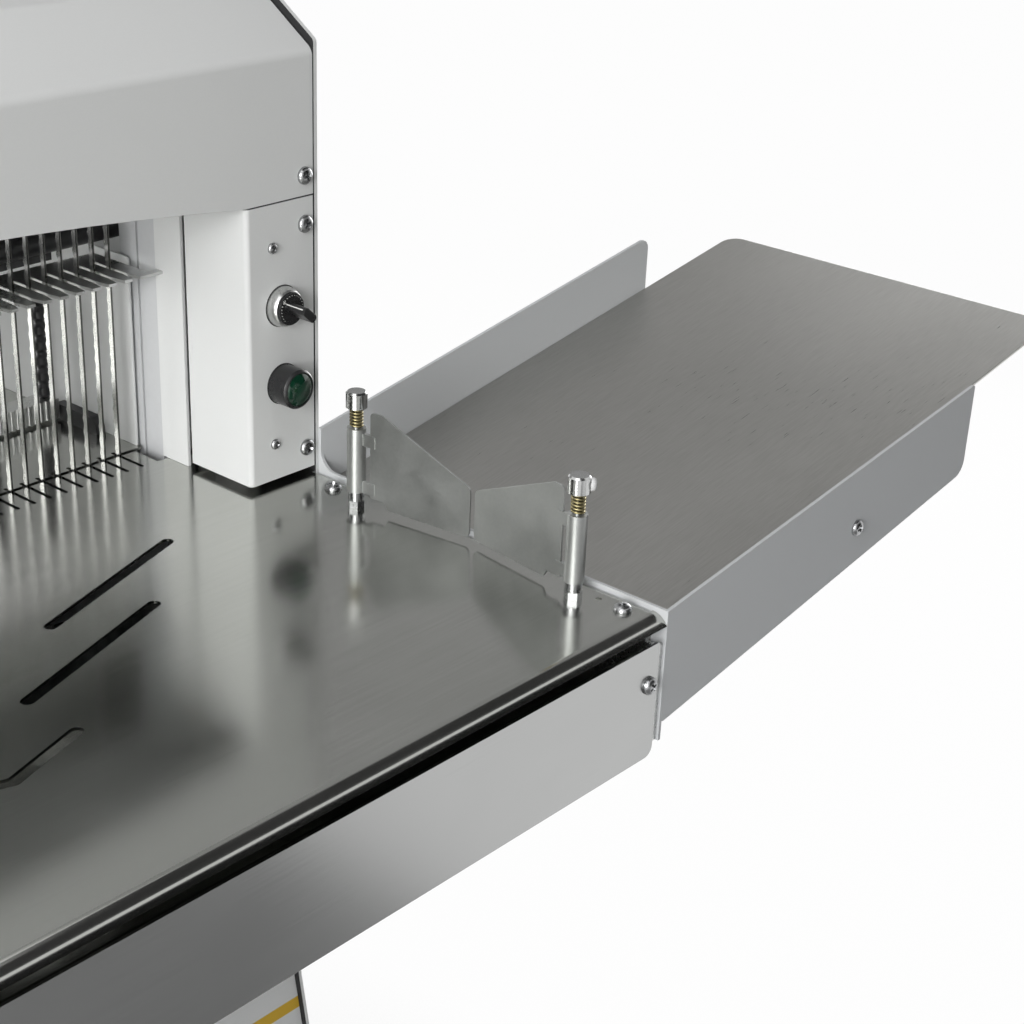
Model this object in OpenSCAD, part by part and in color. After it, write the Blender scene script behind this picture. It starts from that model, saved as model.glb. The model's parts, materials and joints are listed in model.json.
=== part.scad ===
// Floor-standing bread slicer with an outfeed table and a bagging tray.
// X runs along the row of blades, Y runs from the outfeed to the infeed, Z is up from the floor.
// Pieces are drawn about the machine's centre line and the panel's front face, then placed().

/* [Body] */
// Clear width between the two columns
throat_w = 656; // [600:1:720]
// Width of a column's front panel
column_w = 60; // [52:1:80]
// Height of the column panels
column_h = 194; // [185:1:205]
// Depth of a column's inner face
column_d = 61; // [50:1:62]
// Outer bend radius of a column's corner
column_r = 3.5; // [3:0.5:10]
// Shadow gap between a column and the table
column_gap = 4.5; // [2:0.5:6]
// Shadow seam between a column and its side plate
column_seam = 1.2; // [0.5:0.1:2]
// Thickness of the side plates
side_t = 3; // [2:0.5:5]
// Thickness of the folded sheet
sheet_t = 2; // [1:0.5:2.5]
// Height of the table's top above the floor
table_h = 920; // [880:1:980]
// Rear edge of the side plates, behind the panel's face
rear_y = 480; // [478:1:520]
// Height of the side plates' lower edge above the floor
base_z = 60; // [50:1:80]
// How far the base reaches out in front of the panel's face
base_reach = 51; // [40:1:70]
// Set-back of the base under the table
neck_y = 24; // [20:1:30]
// Depth of the front panel's knee below the table
knee_drop = 453; // [420:1:480]
// Height of the infeed's side plates above the table
infeed_h = 150; // [142:1:170]

/* [Hood] */
// Height of the hood's front face
hood_face_h = 93.5; // [80:0.5:110]
// Rise of the arched lower edge
arch_rise = 20; // [8:1:30]
// Depth of the hood's sloped part
slope_run = 57; // [40:1:70]
// Rise of the hood's sloped part
slope_rise = 37; // [32:1:45]
// Depth of the hood
hood_d = 262; // [240:1:290]
// Height of the hood's rear edge above the table
hood_back_h = 190; // [170:1:220]
// Bend radius of the hood's folds
hood_r = 8; // [4:0.5:12]
// How far the side plates stand above the hood
plate_lip = 6; // [3:0.5:10]

/* [Outfeed table] */
// Reach of the table in front of the panel's face
table_reach = 311; // [290:1:330]
// Radius of the table's rolled front edge
roll_r = 13; // [10:0.5:16]
// Depth of the rolled front edge
front_drop = 7; // [5:0.5:9]
// Depth of the side skirts
skirt_h = 70; // [50:1:75]
// Width of the crumb slots
crumb_w = 8.5; // [5:0.5:12]
// Length of the crumb slots between their end centres
crumb_l = 130; // [100:1:140]
// Angle of the crumb slots to the blade row
crumb_a = 19; // [12:1:22]
// Depth of the apron
apron_h = 81; // [78:1:84]
// Gap between the table's drop and the apron
apron_gap = 8.5; // [6:0.5:11]

/* [Blades] */
// Distance between blades
blade_pitch = 13; // [11:0.5:16]
// Width of a blade
blade_w = 5.5; // [5:0.5:8]
// Thickness of a blade
blade_t = 0.8; // [0.6:0.1:1]
// Length of one scallop of the cutting edge
scallop_p = 10; // [8:0.5:14]
// Depth of a scallop
scallop_d = 1; // [0.5:0.1:1.3]
// Plane of the blades behind the panel's face
blade_y = 115; // [113:0.5:118]
// Full stroke of each blade frame
stroke = 36; // [20:1:38]
// Height of the blade frames' bars
bar_h = 22; // [16:1:26]
// Depth of the blade frames' bars
bar_d = 18; // [14:0.5:20]
// Diameter of the guide rods
rod_d = 16; // [12:0.5:18]

/* [Bagging] */
// Distance of the rear flap post from the panel's face
rear_inset = 62; // [56:1:70]
// Distance of the front flap post from the table's front edge
front_inset = 58; // [54:1:64]
// Diameter of a flap post
post_d = 6; // [5:0.5:6.5]
// Diameter of a flap's hinge sleeve
sleeve_d = 13; // [11:0.5:14]
// Diameter of a post's collar
collar_d = 14.5; // [13:0.5:17]
// Wire diameter of the flap springs
wire_d = 1.5; // [1:0.1:1.6]
// Turns of a flap spring
spring_turns = 5.5; // [4:0.5:5.5]
// Gap between the flaps' free ends when they stand in line
flap_gap = 3; // [2:0.5:12]
// Angle of a flap at rest to the table's end
flap_rest = 7; // [5:0.5:12]
// Height of a flap's top above the table
flap_top = 71; // [60:1:75]
// Tilt of the tray's floor
tray_tilt = 10.1; // [8:0.1:11]
// Length of the tray along X
tray_l = 367; // [330:1:400]
// Thickness of the tray's sheet
tray_t = 2.5; // [2:0.5:3]
// Height of the tray's rear wall above the table
tray_back_h = 33; // [25:1:45]
// Length of the bag plate
bag_plate_l = 490; // [440:1:520]

/* [Controls] */
// Height of the speed knob above the table
knob_h = 128; // [115:1:150]
// Height of the start button above the table
start_h = 73; // [60:0.5:80]
// Diameter of the control bezels
bezel_d = 27.5; // [27:0.5:32]

/* [Infeed] */
// Height of the fluted pusher bar
pusher_h = 15; // [13:1:30]
// Distance between the pusher's tines, evened out over the bar
tine_pitch = 47; // [36:1:60]
// Height of a tine
tine_h = 82; // [50:1:90]
// Diameter of a tine's beads
bead_d = 10.5; // [8:0.5:12]

/* [Drive] */
// Depth of the crankshaft below the table
crank_drop = 490; // [480:1:500]
// Diameter of the eccentrics
eccentric_d = 70; // [66:1:74]
// Pitch diameter of the crank pulley
crank_pulley_d = 160; // [140:1:165]
// Pitch diameter of the motor pulley
motor_pulley_d = 64; // [50:1:80]
// Diameter of the motor's body
motor_d = 150; // [120:1:160]

/* [Crumb drawer] */
// Width of the drawer
drawer_w = 444; // [360:1:446]
// Height of the drawer's sides
drawer_h = 54; // [40:1:60]

/* [Hidden] */
$fn = 48;

// Colours
paint = "#d5d8d6";
steel = "#a9adaa";
satin = "#b9bcb8";
chrome = "#c8cacc";
dull_steel = "#80847f";
cast = "#5d6266";
black = "#1c1d1e";
brass = "#9c8a4a";
blue_grey = "#7b858f";

// Clearances
fit = 0.05;
seat = 0.3;

// Main planes
hx = throat_w / 2;
plate_x = hx + column_w;
out_x = plate_x + side_t;
zt = table_h;
knee_z = zt - knee_drop;
crank_z = zt - crank_drop;
seam_h = column_gap + column_h + seat;
hood_bend_h = seam_h + hood_face_h;
hood_top_h = hood_bend_h + slope_rise;

// Large and small pan-head screws
pan_d = 12;
pan_h = 4;
pan_shank = 5;
pan_l = 7;
small_d = 7.5;
small_h = 2.6;
small_shank = 3;

// Screw places
panel_screw_x = hx + column_w - 9;
panel_screw_h = [20.6, column_gap + column_h - 18.5];
hood_screw_h = seam_h + 13.5;
small_screw_x = hx + 22;
small_screw_h = [31, 169];
apron_screw_x = plate_x - 14;
apron_screw_h = -43;
deck_screws = [[plate_x - 13, 25 - table_reach], [plate_x - 13, -31]];
spare_hole = [plate_x - 12, 45 - table_reach];

// Blades: an even count that fits the throat, every second one on the front frame
side_bar_w = 8;
bar_side_x = hx + 11;
edge_room = 15;
half_count = floor((hx - edge_room) / blade_pitch);
blade_ids = [for (i = [0.5 - half_count:half_count - 0.5]) i];
function on_front(i) = (i + half_count - 0.5) % 2 == 0;
blade_front = blade_y - blade_w / 2;
blade_rear = blade_y + blade_w / 2;
frame_gap = 1;
front_bar_y = blade_y - frame_gap - bar_d;
rear_bar_y = blade_y + frame_gap;
top_bar_z = zt + 240;
low_bar_z = zt - 78 - bar_h;
hook_h = 12;
hook_over = 10;
free_slot = 2.4;

// Guides of the blade frames
guide_x = hx + 24;
guide_off = 22;
bush_d = rod_d + 8;
bush_l = 28;
carrier_d = bush_d + 10;
upper_bush_z = zt + 218;
lower_bush_z = low_bar_z;
bracket_h = 20;
top_bracket_z = zt + 283;
low_bracket_z = zt - 168;
bracket_y0 = blade_y - guide_off - 17;
bracket_y1 = blade_y + guide_off + 17;

// Crank, eccentrics and connecting rods; the rods' upper eyes stand beside the frames' lugs
crank_y = blade_y;
shaft_d = 25;
throw = stroke / 2;
rod_t = 16;
eye_z = zt - 175;
eye_d = 34;
pin_d = 16;
lug_t = min(10, blade_pitch - 2.5);
lug_gap = 0.5;
front_lug_x = (half_count - 2) * blade_pitch - lug_t / 2;
rear_lug_x = (half_count - 5) * blade_pitch - lug_t / 2;
front_rod_x = front_lug_x + lug_t + lug_gap;
rear_rod_x = rear_lug_x + lug_t + lug_gap;
strap_d = eccentric_d + 30;
bearing_l = 24;

// Belt drive
belt_x = -112;
belt_w = 13;
belt_h = 8;
pulley_w = 24;
motor_y = 250;
motor_z = base_z + 105;
motor_x0 = -70;
motor_x1 = 160;

// Table plan
table_rear = blade_y - 2;
comb_front = 89;
comb_w = 3;
notch_x = hx - 9;
notch_y = front_bar_y - 8;
rod_notch_y = blade_y - guide_off - rod_d / 2 - 4;
side_bend_r = 4;
bracket_web = 3;
web_out = plate_x - sheet_t - seat;
web_in = web_out - bracket_web;
roll_a = acos(1 - front_drop / roll_r);
roll_y = roll_r * sin(roll_a) - table_reach;
apron_top = zt - front_drop - apron_gap;
apron_z = apron_top - apron_h;
apron_x = plate_x - 5.5;

// Base
front_z0 = base_z + 6;
front_y0 = 5 - base_reach;
front_z1 = zt - 105;
front_y1 = neck_y + 5;
floor_t = 3;
foot_x = plate_x - 48;
foot_ys = [35 - base_reach, rear_y - 40];
foot_d = 50;
stud_d = 12;

// Upper comb and infeed
comb_h = 138;
comb_y0 = 85;
comb_root = 131;
comb_y1 = 148;
mouth_w = 7;
mouth_l = 9;
tie_d = 16;
tie_y = 158;
tie_h = 150;
tie_web_x = 290;
tie_web_h = 137;
tie_web_t = 4;
bed_y0 = blade_y + 2;
bed_comb = 120.5;
wall_y0 = bed_y0 + 3;
bed_y1 = 432;
bed_x = hx;
wall_t = 2;
wall_h = 140;
side_guide_t = 8;
side_guide_h = 12;
side_guide_y = [155, 205];

// Pusher and its feed
pusher_x = hx - 12;
pusher_y = 195;
pusher_t = 18;
pusher_lift = 2.5;
tine_x = pusher_x - 6;
bead_stretch = 1.1;
flute_p = 5;
flute_r = 1.8;
arm_x = 140;
arm_w = 12;
carriage_y = 258;
carriage_d = 24;
carriage_z0 = zt - 56;
carriage_h = 36;
carriage_x = 218;
rail_x = 195;
rail_d = 16;
rail_z = zt - 38;
screw_d = 14;
pusher_fore = 65;
pusher_back = 125;
slot_w = arm_w + 3;
tube_front_y = 160;
tube_rear_y = 410;
tube_d = 20;
tube_wall = 3;
feed_d = 60;
feed_l = 44;

// Drawer, its runners and the tubes that carry them
drawer_z = zt - 314;
drawer_x = drawer_w / 2;
drawer_back = 255;
drawer_wall = 2;
drawer_face = 15;
face_z0 = drawer_z - 7;
face_z1 = face_z0 + drawer_h + 38;
runner_t = 3;
runner_z = drawer_z - seat - runner_t;
runner_tube_ys = [front_y1 + sheet_t + 5, 225];
runner_tube = 25;

// Bagging side
post_x = plate_x - 21.5;
post_span = table_reach - rear_inset - front_inset;
post_mid_y = -rear_inset - post_span / 2;
flap_l = (post_span - flap_gap) / 2;
rear_post = [post_x, post_mid_y + post_span / 2];
front_post = [post_x, post_mid_y - post_span / 2];
nut_h = 5;
spacer_h = 6.2;
spacer_d = 11;
lower_nut_z = zt - sheet_t - bracket_web - nut_h;
sleeve_z0 = zt + nut_h + spacer_h + seat;
sleeve_z1 = zt + 57.3;
collar_z0 = zt + 71.8;
collar_z1 = zt + 83.1;
post_top = collar_z1 - 2;
clamp_z = collar_z0 + 5.6;
clamp_a = 54.5;
clamp_d = 8.5;
clamp_h = 3.5;
tab_h = 8.5;
tab_drop = 11.5;
flap_z0 = zt + 4;
flap_step = 5;
flap_end_h = 39;
flap_t = 1.5;
spring_r = post_d / 2 + wire_d / 2 + 0.25;
tray_x0 = plate_x + seat;
tray_x1 = tray_x0 + tray_l;
tray_y0 = -table_reach;
tray_y1 = -2.5;
tray_floor = zt - 12;
tray_rim = zt + 3;
tray_low0 = zt - 77;
tray_end_low = zt - 89;
tray_low1 = zt - 13;
tray_screw = [tray_x0 + 218, zt - 10.6];
bag_x0 = tray_x0 + tray_t + seat;
bag_t = 2;

// Controls
knob_x = hx + 30;
knob_bezel_l = 8;
dial_d = 22;
dial_l = 1.5;
grip = [13, 6, 17.5];
grip_r = 2.5;
pointer_a = 137;
start_bezel_l = 17;
lens_back = 5.5 - start_bezel_l;
lens_d = 22.8;
spindle_d = 6;
barrel_d = 21.8;
barrel_l = 14;
stem_d = 10;

// The origin is on the floor, under the middle of the whole machine's box
right_end = bag_x0 + bag_plate_l * cos(tray_tilt);
mid_x = (right_end - out_x) / 2;
mid_y = (rear_y - table_reach - pan_h) / 2;

module placed() { translate([-mid_x, -mid_y, 0]) children(); }

// Both sides of the machine
module both() {
  children();
  mirror([1, 0, 0]) children();
}

// A (Y, Z) outline extruded along X
module along_x(x0, x1) { translate([x0, 0, 0]) rotate([90, 0, 90]) linear_extrude(x1 - x0) children(); }

// An (X, Z) outline extruded along Y
module along_y(y0, y1) { translate([0, y1, 0]) rotate([90, 0, 0]) linear_extrude(y1 - y0) children(); }

// An (X, Y) plan extruded along Z
module up(z0, z1) { translate([0, 0, z0]) linear_extrude(z1 - z0) children(); }

module box(low, high) { translate(low) cube(high - low); }

module rod_x(x0, x1, y, z, d) { translate([x0, y, z]) rotate([0, 90, 0]) cylinder(h = x1 - x0, d = d); }

module rod_y(y0, y1, x, z, d) { translate([x, y0, z]) rotate([-90, 0, 0]) cylinder(h = y1 - y0, d = d); }

module rod_z(z0, z1, x, y, d) { translate([x, y, z0]) cylinder(h = z1 - z0, d = d); }

// Right-hand normal and mitred inner line of a folded sheet's outer line
function unit(v) = v / norm(v);
function inward(v) = [unit(v)[1], -unit(v)[0]];
function mitre(a, b, c, t) =
  let (n = inward(b - a), m = unit(n + inward(c - b))) b + m * t / (m * n);
function inner_line(p, t) = [
  for (i = [0:len(p) - 1])
    i == 0 ? p[0] + inward(p[1] - p[0]) * t
    : i == len(p) - 1 ? p[i] + inward(p[i] - p[i - 1]) * t
    : mitre(p[i - 1], p[i], p[i + 1], t)
];
function reversed(p) = [for (i = [len(p) - 1:-1:0]) p[i]];
module folded(p, t) { polygon(concat(p, reversed(inner_line(p, t)))); }

// A polygon whose corners are rounded, with one radius for each corner
corner_steps = 6;
function corner(a, b, c, r) =
  let (u = unit(a - b), v = unit(c - b), half = acos(u * v) / 2)
  let (mid = b + unit(u + v) * r / sin(half), p = b + u * r / tan(half), q = b + v * r / tan(half))
  let (a0 = atan2(p[1] - mid[1], p[0] - mid[0]), a1 = atan2(q[1] - mid[1], q[0] - mid[0]))
  let (turn = a1 - a0, sweep = turn > 180 ? turn - 360 : turn < -180 ? turn + 360 : turn)
  r == 0 ? [b] : [for (i = [0:corner_steps]) let (g = a0 + sweep * i / corner_steps)
                  mid + r * [cos(g), sin(g)]];
function rounded(p, r) = [
  for (i = [0:len(p) - 1])
    each corner(p[(i + len(p) - 1) % len(p)], p[i], p[(i + 1) % len(p)], r[i])
];

// An open line whose inner corners are rounded
function eased(p, r) = [
  for (i = [0:len(p) - 1])
    each i == 0 || i == len(p) - 1 ? [p[i]] : corner(p[i - 1], p[i], p[i + 1], r)
];

// A quarter of a bent sheet, in the first quadrant
module bend(r, t) {
  intersection() {
    difference() {
      circle(r);
      circle(r - t);
    }
    square(r);
  }
}

// A slot with round ends, between two points
module slot(p, q, w) {
  translate(p) rotate(atan2(q[1] - p[1], q[0] - p[0])) {
    translate([0, -w / 2]) square([norm(q - p), w]);
    circle(d = w);
    translate([norm(q - p), 0]) circle(d = w);
  }
}

// Side plates
side_outline = [[-base_reach, base_z], [rear_y, base_z], [rear_y, zt + infeed_h],
                [hood_d + 40, zt + infeed_h], [hood_d, zt + hood_top_h + plate_lip],
                [slope_run, zt + hood_top_h + plate_lip], [0, zt + hood_bend_h + plate_lip],
                [0, zt - 95], [neck_y, zt - 110], [neck_y, knee_z]];
side_radii = [12, 12, 30, 20, 25, 4, 4, 4, 8, 60];

flange_w = 15;

module side_plate() {
  along_x(plate_x, out_x) polygon(rounded(side_outline, side_radii));
  difference() {
    box([plate_x - flange_w, sheet_t, zt + column_gap + 4],
        [plate_x + 1, sheet_t + side_t, zt + hood_bend_h - 6]);
    for (h = concat(panel_screw_h, [hood_screw_h]))
      rod_y(sheet_t - 1, sheet_t + side_t + 1, panel_screw_x, zt + h, pan_shank + 2 * fit);
  }
}

module right_side_plate() { color(paint) placed() side_plate(); }

module left_side_plate() { color(paint) placed() mirror([1, 0, 0]) side_plate(); }

// Hood: one folded sheet between the side plates, with an arched front edge
hood_line = [[0, zt + seam_h], [0, zt + hood_bend_h], [slope_run, zt + hood_top_h],
             [hood_d, zt + hood_top_h], [hood_d, zt + hood_back_h]];
arch_r = (hx * hx + arch_rise * arch_rise) / (2 * arch_rise);

module hood() {
  color(paint) placed() difference() {
    along_x(-plate_x, plate_x) folded(eased(hood_line, hood_r), sheet_t);
    intersection() {
      box([-hx, -1, zt + seam_h - 1], [hx, sheet_t + 1, zt + seam_h + arch_rise + 1]);
      rod_y(-2, sheet_t + 2, 0, zt + seam_h + arch_rise - arch_r, 2 * arch_r);
    }
    both() rod_y(-1, sheet_t + 1, panel_screw_x, zt + hood_screw_h, pan_shank + 2 * seat);
  }
}

// Columns: a front panel, a rounded corner, an inner face and a rear return
module column_plan() {
  translate([hx + column_r, 0]) square([column_w - column_r - column_seam, sheet_t]);
  translate([hx + column_r, column_r]) rotate(180) bend(column_r, sheet_t);
  translate([hx, column_r]) square([sheet_t, column_d - column_r]);
  translate([hx, column_d - sheet_t]) square([18, sheet_t]);
}

module column() {
  difference() {
    up(zt + column_gap, zt + column_gap + column_h) column_plan();
    for (h = panel_screw_h)
      rod_y(-1, sheet_t + 1, panel_screw_x, zt + h, pan_shank + 2 * seat);
    for (h = small_screw_h)
      rod_y(-1, sheet_t + 1, small_screw_x, zt + h, small_shank + 2 * seat);
  }
}

module right_column() {
  color(paint) placed() difference() {
    column();
    rod_y(-1, sheet_t + 1, knob_x, zt + knob_h, spindle_d + 4);
    rod_y(-1, sheet_t + 1, knob_x, zt + start_h, barrel_d + 2 * seat);
  }
}

module left_column() { color(paint) placed() mirror([1, 0, 0]) column(); }

// White slide strips behind the columns, standing on the table
module guide_strips() {
  color(paint) placed() both()
    box([hx, column_d + 5, zt], [hx + 3, comb_y0 + 8, zt + seam_h - 1]);
}

// Outfeed table: flat top, rolled front edge, side skirts, comb slots and crumb slots
crumb_starts = [[hx - 89, -18], [hx - 151, -80]];
vee_start = [53, -166.5];
vee_tip = [0, -184];

module table_plan() {
  difference() {
    union() {
      translate([side_bend_r - plate_x, roll_y])
        square([2 * (plate_x - side_bend_r), table_rear - roll_y]);
      translate([seat - plate_x, 0]) square([2 * (plate_x - seat), notch_y + 1]);
    }
    for (i = blade_ids)
      slot([i * blade_pitch, comb_front], [i * blade_pitch, table_rear + 5], comb_w);
    both() translate([notch_x, notch_y]) square([column_w + 40, 100]);
    both() translate([hx + 4, rod_notch_y]) square([column_w + 40, 100]);
    both() for (p = crumb_starts)
      slot(p, p - crumb_l * [cos(crumb_a), sin(crumb_a)], crumb_w);
    both() slot(vee_start, vee_tip, crumb_w);
    for (p = [rear_post, front_post]) translate(p) circle(d = post_d + 2 * fit);
    both() for (p = deck_screws) translate(p) circle(d = pan_shank + 2 * seat);
    both() translate(spare_hole) circle(d = 4);
  }
}

module outfeed_table() {
  color(steel) placed() {
    up(zt - sheet_t, zt) table_plan();
    along_x(-plate_x, plate_x) translate([roll_y, zt - roll_r]) intersection() {
      rotate(90) bend(roll_r, sheet_t);
      polygon(2 * roll_r * [[0, 0], [0, 1], [-sin(roll_a), cos(roll_a)]]);
    }
    both() along_y(roll_y, -side_t) {
      translate([plate_x - side_bend_r, zt - side_bend_r]) bend(side_bend_r, sheet_t);
      translate([plate_x - sheet_t, zt - skirt_h]) square([sheet_t, skirt_h - side_bend_r]);
    }
  }
}

// Apron under the table's front edge, with a return along its bottom
apron_r = 7;
apron_end = 40;

module apron() {
  color(satin) placed() difference() {
    union() {
      along_y(-table_reach, sheet_t - table_reach)
        polygon(rounded([[-apron_x, apron_z], [apron_x, apron_z], [apron_x, apron_top],
                         [-apron_x, apron_top]], [apron_r, apron_r, 2, 2]));
      box([apron_end - apron_x, -table_reach, apron_z],
          [apron_x - apron_end, 22 - table_reach, apron_z + sheet_t]);
    }
    both() rod_y(-table_reach - 1, sheet_t + 1 - table_reach, apron_screw_x, zt + apron_screw_h,
                 pan_shank + 2 * seat);
  }
}

// Arms that carry the table: a web, a top flange, a front flange and a pad on the side plate
arm_back = 60;
arm_low = zt - 89;

module table_brackets() {
  flange_y = sheet_t + seat - table_reach;
  flange_top = zt - 20;
  under = zt - sheet_t;
  color(satin) placed() both() difference() {
    union() {
      box([web_in, roll_y, arm_low], [web_out, arm_back, zt - side_bend_r - 0.2]);
      box([web_in, flange_y, arm_low], [web_out, roll_y + 1, flange_top]);
      box([web_out - 30, roll_y, under - bracket_web], [plate_x - side_bend_r - seat, arm_back, under]);
      box([web_out - 36, flange_y, arm_low], [plate_x, flange_y + bracket_web, flange_top]);
      box([web_in, 5, arm_low], [plate_x, arm_back, zt - 10]);
    }
    rod_y(flange_y - 1, flange_y + bracket_web + 1, apron_screw_x, zt + apron_screw_h,
          pan_shank + 2 * seat);
    for (p = deck_screws) rod_z(zt - 20, zt, p[0], p[1], pan_shank + 2 * seat);
    for (p = [rear_post, front_post]) rod_z(zt - 20, zt, p[0], p[1], post_d + 2 * fit);
  }
}

// Chute that leads the table's crumbs back into the base
module crumb_chute() {
  chute_t = 1.5;
  color(steel) placed() along_x(seat - web_in, web_in - seat)
    folded([[70, zt - 118], [60, zt - 90], [13 - table_reach, zt - 42], [11 - table_reach, zt - 24]],
           chute_t);
}

// Base panels and floor
module base_front_panel() {
  face_x = drawer_x + drawer_face + 3;
  color(paint) placed() difference() {
    along_x(seat - plate_x, plate_x - seat)
      folded([[front_y0, front_z0], [front_y1, knee_z], [front_y1, front_z1],
              [front_y1 + 15, front_z1]], sheet_t);
    box([-face_x, -base_reach, face_z0 - 3], [face_x, neck_y + 30, face_z1 + 3]);
  }
}

module base_rear_panel() {
  louvre_l = 90;
  color(paint) placed() difference() {
    box([seat - plate_x, rear_y - sheet_t, base_z + floor_t], [plate_x - seat, rear_y, zt - 5]);
    for (x = [-240:120:240], z = [150:20:250])
      along_y(rear_y - sheet_t - 1, rear_y + 1) slot([x - louvre_l / 2, z], [x + louvre_l / 2, z], 6);
  }
}

module base_floor() {
  color(cast) placed() difference() {
    box([seat - plate_x, 6 - base_reach, base_z], [plate_x - seat, rear_y, base_z + floor_t]);
    both() for (y = foot_ys) rod_z(base_z - 1, base_z + floor_t + 1, foot_x, y, stud_d + 2 * seat);
  }
}

// Cross tubes: two carry the infeed bed, the rails and the feed screw, two carry the drawer runners
module cross_tube(y, z0, d, h) {
  along_x(-plate_x, plate_x) difference() {
    translate([y, z0]) square([d, h]);
    translate([y + tube_wall, z0 + tube_wall]) square([d - 2 * tube_wall, h - 2 * tube_wall]);
  }
}

module cross_tubes() {
  bed_tube_h = zt - sheet_t - carriage_z0;
  color(cast) placed() {
    difference() {
      for (y = [tube_front_y, tube_rear_y]) cross_tube(y, carriage_z0, tube_d, bed_tube_h);
      both() rod_y(tube_front_y - 1, tube_rear_y + tube_d + 1, rail_x, rail_z, rail_d + 2 * fit);
      rod_y(tube_front_y - 1, tube_rear_y + tube_d + 1, 0, rail_z, screw_d + 2 * fit);
    }
    for (y = runner_tube_ys) cross_tube(y, runner_z - runner_tube, runner_tube, runner_tube);
  }
}

// Levelling feet: pad, stud and the hexagon that the floor rests on
module levelling_feet() {
  color(black) placed() both() for (y = foot_ys) translate([foot_x, y, 0]) {
    rotate_extrude() polygon([[0, 0], [foot_d / 2, 0], [foot_d / 2, 8], [foot_d / 4, 18], [0, 18]]);
    cylinder(h = base_z + floor_t + 14, d = stud_d);
    translate([0, 0, base_z - 9]) cylinder(h = 9, d = 22, $fn = 6);
  }
}

// Upper comb: pointed teeth open to the front, with end tabs on the guide strips
module upper_comb() {
  color(steel) placed() up(zt + comb_h - sheet_t, zt + comb_h) {
    difference() {
      translate([-notch_x, comb_y0]) square([2 * notch_x, comb_y1 - comb_y0]);
      for (i = blade_ids) {
        slot([i * blade_pitch, comb_y0 - 5], [i * blade_pitch, comb_root], comb_w);
        translate([i * blade_pitch, comb_y0 - 1])
          polygon([[-mouth_w / 2, 0], [mouth_w / 2, 0], [0, mouth_w / comb_w * mouth_l]]);
      }
    }
    both() translate([notch_x - 1, comb_y0]) square([hx - notch_x + 1, 7]);
  }
}

// Tie bar between the side plates, with a web along its underside
module upper_tie_bar() {
  color(black) placed() {
    rod_x(-plate_x, plate_x, tie_y, zt + tie_h, tie_d);
    box([-tie_web_x, tie_y - tie_web_t / 2, zt + tie_web_h],
        [tie_web_x, tie_y + tie_web_t / 2, zt + tie_h]);
  }
}

// Infeed bed behind the blades, with comb slots and the slots of the pusher's legs
module infeed_bed() {
  leg_y = carriage_y + carriage_d / 2;
  color(steel) placed() up(zt - sheet_t, zt) difference() {
    translate([-bed_x, bed_y0]) square([2 * bed_x, bed_y1 - bed_y0]);
    for (i = blade_ids) slot([i * blade_pitch, bed_y0 - 5], [i * blade_pitch, bed_comb], comb_w);
    both() slot([arm_x, leg_y - pusher_fore - arm_w / 2], [arm_x, leg_y + pusher_back + arm_w / 2],
                slot_w);
  }
}

module infeed_walls() {
  color(paint) placed() both()
    along_x(bed_x - wall_t, bed_x)
      polygon(rounded([[wall_y0, zt], [bed_y1, zt], [bed_y1, zt + wall_h], [wall_y0, zt + wall_h]],
                      [0, 0, 25, 4]));
}

// Black guides at the ends of the bed
module bed_side_guides() {
  x0 = bed_x - wall_t - seat - side_guide_t;
  y0 = side_guide_y[0];
  y1 = side_guide_y[1];
  color(black) placed() both()
    along_x(x0, x0 + side_guide_t)
      polygon(rounded([[y0, zt], [y1, zt], [y1, zt + side_guide_h], [y0, zt + side_guide_h]],
                      [0, 0, 4, 8]));
}

// Guide rods of the blade frames and the brackets that hold them
module guide_rods() {
  color(chrome) placed() both() for (s = [-1, 1])
    rod_z(low_bracket_z, top_bracket_z + bracket_h, guide_x, blade_y + s * guide_off, rod_d);
}

module rod_brackets() {
  color(cast) placed() both() difference() {
    for (z = [low_bracket_z, top_bracket_z])
      box([guide_x - 16, bracket_y0, z], [plate_x, bracket_y1, z + bracket_h]);
    for (s = [-1, 1])
      rod_z(low_bracket_z - 1, top_bracket_z + bracket_h + 1, guide_x, blade_y + s * guide_off,
            rod_d + 2 * fit);
  }
}

// Plan of a slotted bar: tight slots for its own blades, free slots for the other set
module bar_plan(front) {
  y0 = front ? front_bar_y : rear_bar_y;
  cut0 = front ? blade_front - seat : blade_y;
  cut1 = front ? blade_y : blade_rear + seat;
  difference() {
    translate([-bar_side_x, y0]) square([2 * bar_side_x, bar_d]);
    for (i = blade_ids) {
      w = on_front(i) == front ? blade_t + 2 * fit : free_slot;
      translate([i * blade_pitch - w / 2, cut0]) square([w, cut1 - cut0]);
    }
  }
}

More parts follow.
